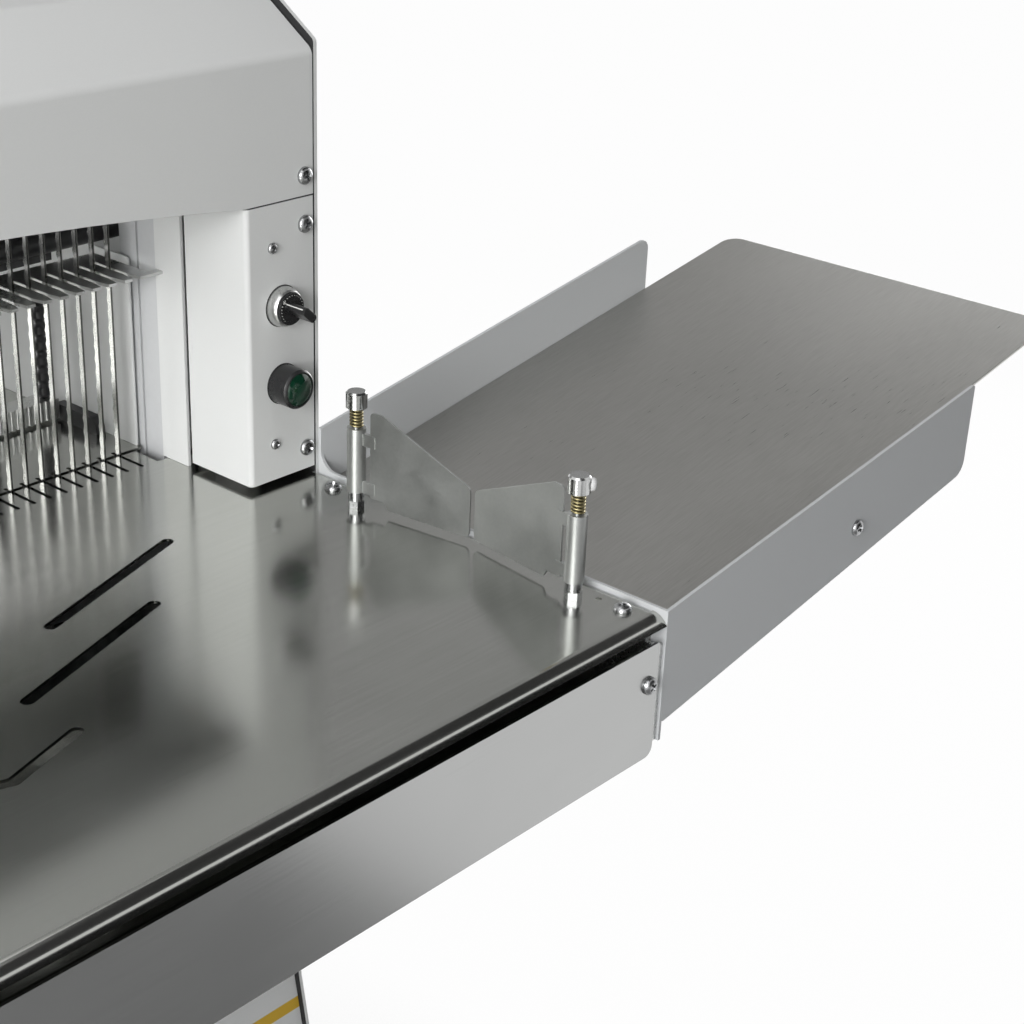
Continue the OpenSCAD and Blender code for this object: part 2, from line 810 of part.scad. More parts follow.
// Blade frame: slotted bars, side bars, bush carriers and the lugs of the connecting rods
module blade_frame(front) {
  y0 = front ? front_bar_y : rear_bar_y;
  guide_y = blade_y + (front ? -guide_off : guide_off);
  lug_y = crank_y + (front ? -throw : throw);
  lug_x = front ? front_lug_x : rear_lug_x;
  up(top_bar_z, top_bar_z + bar_h) bar_plan(front);
  up(low_bar_z, low_bar_z + bar_h) bar_plan(front);
  both() difference() {
    union() {
      box([bar_side_x - side_bar_w, y0, low_bar_z], [bar_side_x, y0 + bar_d, top_bar_z + bar_h]);
      for (z = [lower_bush_z, upper_bush_z]) {
        rod_z(z, z + bush_l, guide_x, guide_y, carrier_d);
        box([bar_side_x, guide_y - 8, z], [guide_x, guide_y + 8, z + bush_l]);
      }
      box([lug_x, lug_y - 14, eye_z], [lug_x + lug_t, lug_y + 14, low_bar_z]);
      box([lug_x, y0, low_bar_z - 1], [lug_x + lug_t, y0 + bar_d, low_bar_z]);
      rod_x(lug_x, lug_x + lug_t, lug_y, eye_z, 28);
    }
    rod_z(lower_bush_z - 1, upper_bush_z + bush_l + 1, guide_x, guide_y, bush_d);
    rod_x(lug_x - 1, lug_x + lug_t + 1, lug_y, eye_z, pin_d + 2 * fit);
  }
}

module front_blade_frame() { color(satin) placed() blade_frame(true); }

module rear_blade_frame() { color(satin) placed() blade_frame(false); }

// One blade: a scalloped strip with a hook at each end over its own frame's bars
scallop_r = (scallop_p * scallop_p / 4 + scallop_d * scallop_d) / (2 * scallop_d);
scallop_z0 = zt - 30;
scallop_count = 23;

module blade_outline(front) {
  low = low_bar_z - hook_h;
  high = top_bar_z + bar_h + hook_h;
  hook_y = front ? blade_front - hook_over : blade_front;
  difference() {
    union() {
      translate([blade_front, low]) square([blade_w, high - low]);
      for (z = [low, high - hook_h]) translate([hook_y, z]) square([blade_w + hook_over, hook_h]);
    }
    for (k = [0:scallop_count - 1])
      translate([blade_rear - scallop_d + scallop_r, scallop_z0 + k * scallop_p]) circle(scallop_r);
  }
}

module blade_set(front) {
  for (i = blade_ids)
    if (on_front(i) == front)
      along_x(i * blade_pitch - blade_t / 2, i * blade_pitch + blade_t / 2) blade_outline(front);
}

module front_blades() { color(chrome) placed() blade_set(true); }

module rear_blades() { color(chrome) placed() blade_set(false); }

module bushes(guide_y) {
  both() for (z = [lower_bush_z, upper_bush_z]) difference() {
    rod_z(z, z + bush_l, guide_x, guide_y, bush_d - 2 * fit);
    rod_z(z - 1, z + bush_l + 1, guide_x, guide_y, rod_d + 2 * fit);
  }
}

module front_bushes() { color(brass) placed() bushes(blade_y - guide_off); }

module rear_bushes() { color(brass) placed() bushes(blade_y + guide_off); }

// Crankshaft with two pairs of eccentrics, half a turn apart
module crankshaft() {
  color(chrome) placed() {
    rod_x(2 - plate_x, plate_x - 2, crank_y, crank_z, shaft_d);
    both() {
      rod_x(front_rod_x, front_rod_x + rod_t, crank_y - throw, crank_z, eccentric_d);
      rod_x(rear_rod_x, rear_rod_x + rod_t, crank_y + throw, crank_z, eccentric_d);
    }
  }
}

module crank_bearings() {
  color(cast) placed() both() difference() {
    union() {
      rod_x(plate_x - bearing_l, plate_x, crank_y, crank_z, 62);
      along_x(plate_x - 10, plate_x) translate([crank_y, crank_z])
        polygon(rounded([[-48, -48], [48, -48], [48, 48], [-48, 48]], [18, 18, 18, 18]));
    }
    rod_x(plate_x - bearing_l - 1, plate_x + 1, crank_y, crank_z, shaft_d + 2 * fit);
  }
}

// Connecting rods: a strap round the eccentric, a shank and an upper eye with its pin
module con_rods(x, y) {
  both() difference() {
    union() {
      rod_x(x, x + rod_t, y, crank_z, strap_d);
      box([x + 2, y - 10, crank_z + eccentric_d / 2 + 5], [x + rod_t - 2, y + 10, eye_z - 10]);
      rod_x(x, x + rod_t, y, eye_z, eye_d);
    }
    rod_x(x - 1, x + rod_t + 1, y, crank_z, eccentric_d + 2 * fit);
  }
}

module front_con_rods() { color(cast) placed() con_rods(front_rod_x, crank_y - throw); }

module rear_con_rods() { color(cast) placed() con_rods(rear_rod_x, crank_y + throw); }

// Grooved pulley along X, with its bore left to the caller
module pulley(d, x, y, z) {
  rim = d / 2 + belt_h / 2 + 2;
  root = d / 2 - belt_h / 2 - 2;
  side = (pulley_w - belt_w) / 2 - 1;
  translate([x - pulley_w / 2, y, z]) rotate([0, 90, 0]) rotate_extrude()
    polygon([[0, 0], [rim, 0], [rim, side], [root, side + 3], [root, pulley_w - side - 3],
             [rim, pulley_w - side], [rim, pulley_w], [0, pulley_w]]);
}

module crank_pulley() {
  hole_r = 0.29 * crank_pulley_d;
  hole_d = 0.18 * crank_pulley_d;
  color(cast) placed() difference() {
    pulley(crank_pulley_d, belt_x, crank_y, crank_z);
    rod_x(belt_x - pulley_w, belt_x + pulley_w, crank_y, crank_z, shaft_d + 2 * fit);
    for (a = [0:72:288])
      rod_x(belt_x - pulley_w, belt_x + pulley_w, crank_y + hole_r * cos(a),
            crank_z + hole_r * sin(a), hole_d);
  }
}

module motor_pulley() {
  color(cast) placed() {
    pulley(motor_pulley_d, belt_x, motor_y, motor_z);
    rod_x(belt_x, motor_x0 + 40, motor_y, motor_z, 20);
  }
}

// The loop of a belt at one offset from the pulleys' pitch line
module belt_loop(off) {
  r1 = crank_pulley_d / 2 + off;
  r2 = motor_pulley_d / 2 + off;
  run = [motor_y - crank_y, motor_z - crank_z];
  way = atan2(run[1], run[0]);
  lean = acos((r1 - r2) / norm(run));
  c1 = [crank_y, crank_z];
  c2 = [motor_y, motor_z];
  translate(c1) circle(r1);
  translate(c2) circle(r2);
  polygon([for (e = [[c1, r1, 1], [c2, r2, 1], [c2, r2, -1], [c1, r1, -1]])
           e[0] + e[1] * [cos(way + e[2] * lean), sin(way + e[2] * lean)]]);
}

module drive_belt() {
  belt_in = 5;
  color(black) placed() along_x(belt_x - belt_in, belt_x + belt_in) difference() {
    belt_loop(belt_h / 2);
    belt_loop(-belt_h / 2);
  }
}

// Motor on the base floor: ribbed body, end bells, feet and terminal box
module motor() {
  bell = 30;
  color(blue_grey) placed() difference() {
    union() {
      rod_x(motor_x0, motor_x1, motor_y, motor_z, motor_d - 14);
      rod_x(motor_x0, motor_x0 + bell, motor_y, motor_z, motor_d);
      rod_x(motor_x1 - bell, motor_x1, motor_y, motor_z, motor_d);
      for (a = [0:20:340])
        translate([motor_x0 + bell, motor_y, motor_z]) rotate([a, 0, 0])
          box([-1, -1.5, 0], [motor_x1 - motor_x0 - 2 * bell + 1, 1.5, motor_d / 2 - 1]);
      for (x = [motor_x0 + bell + 10, motor_x1 - bell - 40])
        box([x, motor_y - 75, base_z + floor_t], [x + 30, motor_y + 75, base_z + floor_t + 12]);
      for (x = [motor_x0 + bell + 10, motor_x1 - bell - 40])
        box([x, motor_y - 50, base_z + floor_t], [x + 30, motor_y + 50, motor_z - motor_d / 4]);
      box([motor_x0 + bell + 20, motor_y - 35, motor_z + motor_d / 2 - 15],
          [motor_x1 - bell - 20, motor_y + 35, motor_z + motor_d / 2 + 30]);
    }
    rod_x(motor_x0 - 1, motor_x0 + 45, motor_y, motor_z, 20 + 2 * fit);
  }
}

// Pusher: fluted bar, beaded tines and the carriage under the bed
module pusher_bar() {
  color(satin) placed() up(zt + pusher_lift, zt + pusher_lift + pusher_h) difference() {
    translate([-pusher_x, pusher_y]) square([2 * pusher_x, pusher_t]);
    for (x = [flute_p - pusher_x:flute_p:pusher_x - flute_p / 2])
      translate([x, pusher_y]) circle(flute_r);
  }
}

module pusher_tines() {
  tine_y = pusher_y + pusher_t / 2;
  gaps = round(2 * tine_x / tine_pitch);
  beads = round(tine_h / bead_d / bead_stretch);
  bead_l = tine_h / beads;
  color(black) placed() for (i = [0:gaps])
    translate([2 * tine_x * (i / gaps - 0.5), tine_y, zt + pusher_lift + pusher_h]) rotate_extrude()
      polygon(concat([[0, 0]], [for (k = [0:beads - 1], e = [[0.34, 0.04], [0.5, 0.28], [0.5, 0.72],
                                                          [0.34, 0.96]])
                                [e[0] * bead_d, (k + e[1]) * bead_l]], [[0, tine_h]]));
}

module pusher_carriage() {
  leg_y = carriage_y + carriage_d / 2;
  bar_back = pusher_y + pusher_t;
  arm_z = zt + pusher_lift;
  color(cast) placed() difference() {
    union() {
      box([-carriage_x, carriage_y, carriage_z0],
          [carriage_x, carriage_y + carriage_d, carriage_z0 + carriage_h]);
      both() {
        box([arm_x - arm_w / 2, leg_y - arm_w / 2, carriage_z0 + carriage_h - 1],
            [arm_x + arm_w / 2, leg_y + arm_w / 2, arm_z + arm_w]);
        box([arm_x - arm_w / 2, bar_back, arm_z], [arm_x + arm_w / 2, leg_y, arm_z + arm_w]);
      }
    }
    both() rod_y(carriage_y - 1, carriage_y + carriage_d + 1, rail_x, rail_z, rail_d + 2 * fit);
    rod_y(carriage_y - 1, carriage_y + carriage_d + 1, 0, rail_z, screw_d + 2 * fit);
  }
}

module pusher_rails() {
  color(chrome) placed() both() rod_y(tube_front_y, tube_rear_y + tube_d, rail_x, rail_z, rail_d);
}

module feed_screw() {
  color(chrome) placed() rod_y(tube_front_y, tube_rear_y + tube_d + 20, 0, rail_z, screw_d);
}

// Gear motor of the feed screw, on the rear cross tube
module feed_motor() {
  y0 = tube_rear_y + tube_d;
  color(blue_grey) placed() difference() {
    union() {
      rod_y(y0, y0 + feed_l, 0, rail_z, feed_d);
      box([-feed_d / 2, y0, rail_z - feed_d / 2 + 10], [feed_d / 2, y0 + 8, rail_z + feed_d / 2 - 10]);
    }
    rod_y(y0 - 1, y0 + 22, 0, rail_z, screw_d + 2 * fit);
  }
}

// Crumb drawer in the base, its runners and its face with a finger slot
module drawer_runners() {
  leg_x = drawer_x + 0.4;
  y0 = front_y1 + 6;
  color(satin) placed() both() {
    box([drawer_x - 16, y0, runner_z], [leg_x + runner_t, drawer_back + 7, runner_z + runner_t]);
    box([leg_x, y0, runner_z], [leg_x + runner_t, drawer_back + 7, runner_z + 40]);
  }
}

module crumb_drawer() {
  top = drawer_z + drawer_h;
  face_x = drawer_x + drawer_face;
  color(steel) placed() {
    difference() {
      box([-face_x, front_y1, face_z0], [face_x, front_y1 + drawer_wall, face_z1]);
      along_y(front_y1 - 1, front_y1 + drawer_wall + 1)
        slot([-50, face_z1 - 20], [50, face_z1 - 20], 20);
    }
    both() box([drawer_x - drawer_wall, front_y1 + 1, drawer_z], [drawer_x, drawer_back, top]);
    box([-drawer_x, front_y1 + 1, drawer_z], [drawer_x, drawer_back, drawer_z + drawer_wall]);
    box([-drawer_x, drawer_back - drawer_wall, drawer_z], [drawer_x, drawer_back, top]);
  }
}

// Bag tray: end wall on the table's skirt, tapering front wall, rear wall and a tilted floor
function tray_rise(x) = (x - tray_x0) * tan(tray_tilt);

module bag_tray() {
  back_r = 13;
  end_top = tray_rim - zt;
  front_end = tray_floor + bag_t + tray_rise(tray_x1) + 1;
  lean = [tray_x0, tray_x1];
  color(paint) placed() difference() {
    union() {
      along_x(tray_x0, tray_x0 + tray_t) difference() {
        polygon([[tray_y0, tray_end_low], [tray_y1, tray_end_low], [tray_y1, zt + tray_back_h],
                 [tray_y1 - back_r - tray_t, zt + tray_back_h], [tray_y1 - back_r - tray_t, tray_rim],
                 [tray_y0, tray_rim]]);
        translate([tray_y1 - back_r - tray_t, tray_rim + back_r]) circle(back_r);
        translate([tray_y1 - 2 * back_r - tray_t, tray_rim + back_r])
          square([2 * back_r, tray_back_h]);
      }
      along_y(tray_y0, tray_y0 + tray_t)
        polygon(rounded([[tray_x0, tray_low0], [tray_x1, tray_low1], [tray_x1, front_end],
                         [tray_x0, tray_rim]], [4, 12, 2, 0]));
      along_y(tray_y1 - tray_t, tray_y1)
        polygon(rounded([[tray_x0, tray_low0], [tray_x1, tray_low1],
                         [tray_x1, zt + tray_back_h + tray_rise(tray_x1)],
                         [tray_x0, zt + tray_back_h]], [4, 12, 8, 0]));
      along_y(tray_y0 + 1, tray_y1 - 1)
        polygon([[lean[0], tray_floor - tray_t], [lean[1], tray_floor - tray_t + tray_rise(lean[1])],
                 [lean[1], tray_floor + tray_rise(lean[1])], [lean[0], tray_floor]]);
    }
    rod_y(tray_y0 - 1, tray_y0 + tray_t + 1, tray_screw[0], tray_screw[1], pan_shank + 2 * seat);
  }
}

module bag_plate() {
  wide = tray_y1 - tray_y0 - 2 * tray_t - 2 * seat;
  color(dull_steel) placed()
    translate([bag_x0, tray_y0 + tray_t + seat, tray_floor + tray_rise(bag_x0) + fit])
      rotate([0, -tray_tilt, 0]) linear_extrude(bag_t)
        polygon(rounded([[0, 0], [bag_plate_l, 0], [bag_plate_l, wide], [0, wide]], [14, 14, 14, 14]));
}

// Both flap posts, each turned so that x runs towards its collar's clamp screw
module at_posts() {
  for (s = [-1, 1])
    translate([post_x, post_mid_y + s * post_span / 2, 0]) rotate(s * clamp_a) children();
}

// Flap posts with their nuts, collars and springs
module flap_posts() {
  color(chrome) placed() at_posts() rod_z(lower_nut_z - 4, post_top, 0, 0, post_d);
}

module post_nuts() {
  nut_d = 10 / cos(30);
  color(chrome) placed() at_posts() difference() {
    union() {
      translate([0, 0, zt]) cylinder(h = nut_h, d = nut_d, $fn = 6);
      rod_z(zt + nut_h, zt + nut_h + spacer_h, 0, 0, spacer_d);
      translate([0, 0, lower_nut_z]) cylinder(h = nut_h, d = nut_d, $fn = 6);
    }
    rod_z(zt - 20, zt + 20, 0, 0, post_d + 2 * fit);
  }
}

module post_collars() {
  edge = 1.2;
  tall = collar_z1 - collar_z0;
  color(chrome) placed() at_posts() difference() {
    translate([0, 0, collar_z0]) rotate_extrude()
      polygon([[0, 0], [collar_d / 2, 0], [collar_d / 2, tall - edge], [collar_d / 2 - edge, tall],
               [0, tall]]);
    rod_z(collar_z0 - 1, post_top + seat, 0, 0, post_d + 2 * fit);
    rod_x(0, collar_d, 0, clamp_z, small_shank + 2 * fit);
  }
}

// One unbroken wire of a flap spring: rings of wire_sides points along a helix
rings_per_turn = 8;
wire_sides = 6;
spring_z0 = sleeve_z1 + seat + wire_d / 2;
spring_z1 = collar_z0 - seat - wire_d / 2;
spring_rings = ceil(spring_turns * rings_per_turn);
spring_pitch = (spring_z1 - spring_z0) / spring_turns;
function coil_angle(k) = 360 * k / rings_per_turn;
function coil_point(k) =
  [spring_r * cos(coil_angle(k)), spring_r * sin(coil_angle(k)),
   spring_z0 + spring_pitch * k / rings_per_turn];
function wire_ring(k) = [
  for (s = [0:wire_sides - 1])
    let (g = 360 * s / wire_sides, a = coil_angle(k), out = wire_d / 2 * cos(g))
      coil_point(k) + [out * cos(a), out * sin(a), wire_d / 2 * sin(g)]
];
spring_gap = min([for (k = [rings_per_turn - 2:rings_per_turn + 2])
                  norm(coil_point(k) - coil_point(0))]) - wire_d;
echo(least_spring_gap = spring_gap);

module spring_wire() {
  n = wire_sides;
  last = spring_rings * n;
  points = [for (k = [0:spring_rings]) each wire_ring(k)];
  sides = [for (k = [0:spring_rings - 1], s = [0:n - 1])
           let (a = k * n + s, b = k * n + (s + 1) % n)
             each [[a, a + n, b], [b, a + n, b + n]]];
  start = [for (s = [1:n - 2]) [0, s, s + 1]];
  end = [for (s = [1:n - 2]) [last, last + s + 1, last + s]];
  polyhedron(points, concat(sides, start, end));
}

module rear_spring() { color(brass) placed() translate([rear_post[0], rear_post[1], 0]) spring_wire(); }

module front_spring() { color(brass) placed() translate([front_post[0], front_post[1], 0]) spring_wire(); }

// Flap: hinge sleeve, two tabs and a tapering plate along its own x
module flap() {
  plate_x0 = sleeve_d / 2 + 5.7;
  difference() {
    union() {
      cylinder(h = sleeve_z1 - sleeve_z0, d = sleeve_d);
      translate([0, 0, -sleeve_z0]) {
        along_y(-flap_t / 2, flap_t / 2)
          polygon(rounded([[plate_x0, flap_z0 + flap_step], [plate_x0 + 12, flap_z0 + flap_step],
                           [plate_x0 + 15, flap_z0], [flap_l, flap_z0], [flap_l, zt + flap_end_h],
                           [plate_x0 + 9, zt + flap_top], [plate_x0, zt + flap_top]],
                          [1, 1, 1, 4, 5, 5, 3]));
        for (z = [sleeve_z0, sleeve_z1 - tab_drop])
          box([0, -flap_t, z], [plate_x0 + 4, flap_t, z + tab_h]);
      }
    }
    translate([0, 0, -1]) cylinder(h = sleeve_z1 - sleeve_z0 + 2, d = post_d + 2 * fit);
  }
}

module rear_flap() {
  color(dull_steel) placed() translate([rear_post[0], rear_post[1], sleeve_z0])
    rotate(flap_rest - 90) flap();
}

module front_flap() {
  color(dull_steel) placed() translate([front_post[0], front_post[1], sleeve_z0])
    rotate(90 - flap_rest) flap();
}

// Speed knob on its bezel
module knob_bezel() {
  rim = bezel_d / 2;
  color(satin) placed() difference() {
    translate([knob_x, 0, zt + knob_h]) rotate([90, 0, 0]) rotate_extrude()
      polygon([[0, 0], [rim, 0], [rim, 2], [rim - 0.4, 4.5], [rim - 1.1, 6.5], [rim - 2, knob_bezel_l],
               [0, knob_bezel_l]]);
    rod_y(-knob_bezel_l - 1, 1, knob_x, zt + knob_h, spindle_d + 2 * fit);
  }
}

module speed_knob() {
  y0 = -knob_bezel_l - seat;
  a = grip[0] / 2;
  b = grip[1] / 2;
  color(black) placed() {
    rod_y(y0 - dial_l, y0, knob_x, zt + knob_h, dial_d);
    along_y(y0 - dial_l - grip[2], y0 - dial_l / 2) translate([knob_x, zt + knob_h]) rotate(pointer_a)
      polygon(rounded([[-a, -b], [a, -b], [a, b], [-a, b]], [grip_r, grip_r, grip_r, grip_r]));
    rod_y(y0 - 1, 14, knob_x, zt + knob_h, spindle_d);
  }
}

// Start button in its bezel, with a barrel through the panel
module start_bezel() {
  cup = 1.5;
  color(black) placed() difference() {
    union() {
      translate([knob_x, 0, zt + start_h]) rotate([90, 0, 0]) rotate_extrude()
        polygon([[0, 0], [bezel_d / 2, 0], [bezel_d / 2, start_bezel_l - 1.5],
                 [bezel_d / 2 - 1.5, start_bezel_l], [0, start_bezel_l]]);
      rod_y(-1, barrel_l, knob_x, zt + start_h, barrel_d);
    }
    rod_y(-start_bezel_l - 1, -cup, knob_x, zt + start_h, lens_d + 2 * fit);
    rod_y(-cup - 1, barrel_l + 1, knob_x, zt + start_h, stem_d + 2 * fit);
  }
}

module start_button() {
  dome = 3;
  color("#0d3a22") placed() {
    translate([knob_x, lens_back, zt + start_h]) rotate([90, 0, 0]) rotate_extrude()
      polygon([[0, 0], [lens_d / 2, 0], [lens_d / 2, 5], [lens_d / 3, 5 + dome * 0.7], [0, 5 + dome]]);
    rod_y(lens_back - 1, barrel_l - 6, knob_x, zt + start_h, stem_d);
  }
}

// Contact block and speed potentiometer behind the right panel
module control_blocks() {
  block = 28;
  color(black) placed() {
    box([knob_x - block / 2, barrel_l, zt + start_h - block / 2],
        [knob_x + block / 2, barrel_l + 32, zt + start_h + block / 2]);
    difference() {
      rod_y(sheet_t, 24, knob_x, zt + knob_h, 24);
      rod_y(sheet_t - 1, 14 + seat, knob_x, zt + knob_h, spindle_d + 2 * fit);
    }
  }
}

// A pan-head screw with its head on z = 0
module pan_screw(d, h, shank, l) {
  rotate_extrude()
    polygon([[0, -l], [shank / 2, -l], [shank / 2, 0], [d / 2, 0], [d / 2, h * 0.35], [d * 0.36, h * 0.85],
             [d * 0.2, h], [0, h]]);
}

module front_screw(x, y, z) {
  translate([x, y, z]) rotate([90, 0, 0]) pan_screw(pan_d, pan_h, pan_shank, pan_l);
}

module cover_screws() {
  color(chrome) placed() {
    both() {
      for (h = panel_screw_h) front_screw(panel_screw_x, 0, zt + h);
      front_screw(panel_screw_x, 0, zt + hood_screw_h);
      front_screw(apron_screw_x, -table_reach, zt + apron_screw_h);
      for (p = deck_screws)
        translate([p[0], p[1], zt]) pan_screw(pan_d, pan_h, pan_shank, pan_l);
    }
    front_screw(tray_screw[0], tray_y0, tray_screw[1]);
  }
}

module small_screws() {
  color(chrome) placed() {
    both() for (h = small_screw_h) translate([small_screw_x, 0, zt + h]) rotate([90, 0, 0])
      pan_screw(small_d, small_h, small_shank, 5);
    at_posts() translate([collar_d / 2, 0, clamp_z]) rotate([0, 90, 0])
      pan_screw(clamp_d, clamp_h, small_shank, collar_d / 2 - post_d / 2 - seat);
  }
}

left_side_plate();
right_side_plate();
hood();
left_column();
right_column();
guide_strips();
outfeed_table();
apron();
table_brackets();
base_front_panel();
base_rear_panel();
base_floor();
cross_tubes();
levelling_feet();
upper_comb();
upper_tie_bar();
infeed_bed();
infeed_walls();
bed_side_guides();
guide_rods();
rod_brackets();
crank_bearings();
motor();
drive_belt();
crumb_chute();
drawer_runners();
bag_tray();
bag_plate();
flap_posts();
post_nuts();
post_collars();
rear_spring();
front_spring();
knob_bezel();
start_bezel();
control_blocks();
cover_screws();
small_screws();
pusher_rails();
feed_motor();
front_blade_frame();
front_blades();
front_bushes();
rear_blade_frame();
rear_blades();
rear_bushes();
crankshaft();
crank_pulley();
front_con_rods();
rear_con_rods();
motor_pulley();
pusher_bar();
pusher_tines();
pusher_carriage();
feed_screw();
start_button();
speed_knob();
rear_flap();
front_flap();
crumb_drawer();
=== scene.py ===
"""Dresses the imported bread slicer: finishes, small fittings, studio light and the photograph's camera."""
import json
import logging
import math
from dataclasses import dataclass, field
from enum import Enum
from typing import Iterable, Sequence

import bmesh
import bpy
from mathutils import Matrix, Vector


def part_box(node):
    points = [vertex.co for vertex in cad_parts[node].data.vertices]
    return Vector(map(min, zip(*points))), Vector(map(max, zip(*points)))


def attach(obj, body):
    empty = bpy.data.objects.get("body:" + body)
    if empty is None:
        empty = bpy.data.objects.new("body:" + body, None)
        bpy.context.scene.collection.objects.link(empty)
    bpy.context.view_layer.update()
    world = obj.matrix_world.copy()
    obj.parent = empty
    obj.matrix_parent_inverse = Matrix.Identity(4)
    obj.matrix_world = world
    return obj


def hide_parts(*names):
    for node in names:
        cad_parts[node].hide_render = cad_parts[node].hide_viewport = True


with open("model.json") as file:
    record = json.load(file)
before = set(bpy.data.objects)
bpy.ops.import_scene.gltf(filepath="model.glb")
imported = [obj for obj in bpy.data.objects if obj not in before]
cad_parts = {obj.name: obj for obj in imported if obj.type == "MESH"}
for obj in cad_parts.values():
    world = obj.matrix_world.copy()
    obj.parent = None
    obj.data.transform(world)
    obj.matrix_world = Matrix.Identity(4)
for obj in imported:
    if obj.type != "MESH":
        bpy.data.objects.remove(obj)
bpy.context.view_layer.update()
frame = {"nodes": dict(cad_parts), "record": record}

LOG = logging.getLogger("bread_slicer")
MM = 0.001
Colour = tuple[float, float, float]
Triple = tuple[float, float, float]

WHITE: Colour = (0.83, 0.84, 0.83)
WHITE_SHADE: Colour = (0.78, 0.79, 0.785)
# Painted shade: dark colour for the seams beside the side plates and along the columns' tops.
PAINTED_SEAM_SHADE: Colour = (0.030, 0.030, 0.031)
POWDER_ROUGHNESS = (0.60, 0.70)
POWDER_SHEEN = 0.22
NOISE_SPAN = (0.3, 0.7)
GRAIN_DEPTH = 0.0004
WELD_GAP = 2e-6
FLAT_DEG = 0.5
FOLD_DEG = 24.0
CREASE_DEG = 35.0
BEZEL_X = 358.0
KNOB_Z = 1048.0
BUTTON_Z = 993.0
APRON_FACE_Y = -311.0


class Graph:
    """Adds nodes to one node tree and links them."""

    def __init__(self, tree: bpy.types.NodeTree) -> None:
        """Keeps the tree that nodes are added to."""
        self.tree = tree

    def node(self, kind: str, inputs: dict | None = None, **settings: object) -> bpy.types.Node:
        """Adds one node.

        Args:
            kind: Blender's identifier of the node.
            inputs: socket name or index to a value, or to an output socket to link.
            settings: properties of the node itself.

        Returns:
            The new node.
        """
        made = self.tree.nodes.new(kind)
        for name, value in settings.items():
            setattr(made, name, value)
        for name, value in (inputs or {}).items():
            if isinstance(value, bpy.types.NodeSocket):
                self.tree.links.new(value, made.inputs[name])
            else:
                made.inputs[name].default_value = value
        return made

    def noise(self, coords: bpy.types.NodeSocket, scale: float, detail: float = 3.0) -> bpy.types.NodeSocket:
        """A noise value on these coordinates.

        Args:
            coords: vector output that the noise reads.
            scale: cells per metre.
            detail: octaves.

        Returns:
            The factor output.
        """
        made = self.node("ShaderNodeTexNoise", {"Vector": coords, "Scale": scale, "Detail": detail})
        return made.outputs["Fac"]

    def stretched(self, coords: bpy.types.NodeSocket, scale: Triple) -> bpy.types.NodeSocket:
        """The coordinates multiplied by one factor for each axis."""
        made = self.node("ShaderNodeMapping", {"Vector": coords, "Scale": scale}, vector_type="POINT")
        return made.outputs["Vector"]

    def ramp(self, value: bpy.types.NodeSocket, low: float, high: float,
             to: tuple[float, float]) -> bpy.types.NodeSocket:
        """Maps a value from low..high onto another range, clamped.

        Args:
            value: output to map.
            low: start of the source range.
            high: end of the source range.
            to: target range.

        Returns:
            The mapped output.
        """
        made = self.node("ShaderNodeMapRange", {"Value": value, "From Min": low, "From Max": high,
                                                "To Min": to[0], "To Max": to[1]})
        return made.outputs["Result"]

    def mix(self, factor: bpy.types.NodeSocket, first: object, second: object) -> bpy.types.NodeSocket:
        """Mixes two colours by a factor.

        Args:
            factor: output between 0 and 1.
            first: colour or output at 0.
            second: colour or output at 1.

        Returns:
            The mixed colour output.
        """
        made = self.node("ShaderNodeMix", data_type="RGBA")
        self.tree.links.new(factor, made.inputs["Factor"])
        for socket, value in ((made.inputs[6], first), (made.inputs[7], second)):
            if isinstance(value, bpy.types.NodeSocket):
                self.tree.links.new(value, socket)
            else:
                socket.default_value = (*value, 1.0)
        return made.outputs[2]

    def axis(self, coords: bpy.types.NodeSocket, name: str) -> bpy.types.NodeSocket:
        """One axis of a vector output."""
        return self.node("ShaderNodeSeparateXYZ", {"Vector": coords}).outputs[name]

    def math(self, operation: str, first: object, second: object = 0.0) -> bpy.types.NodeSocket:
        """One sum, product or other result of two values.

        Args:
            operation: Blender's identifier of the operation.
            first: value or output.
            second: value or output, where the operation takes two.

        Returns:
            The result's output.
        """
        return self.node("ShaderNodeMath", {0: first, 1: second}, operation=operation).outputs[0]

    def below(self, value: bpy.types.NodeSocket, limit: float, soft: float) -> bpy.types.NodeSocket:
        """One below a limit and zero above it, over a soft edge."""
        return self.ramp(value, limit - soft, limit + soft, (1.0, 0.0))

    def above(self, value: bpy.types.NodeSocket, limit: float, soft: float) -> bpy.types.NodeSocket:
        """One above a limit and zero below it, over a soft edge."""
        return self.ramp(value, limit - soft, limit + soft, (0.0, 1.0))


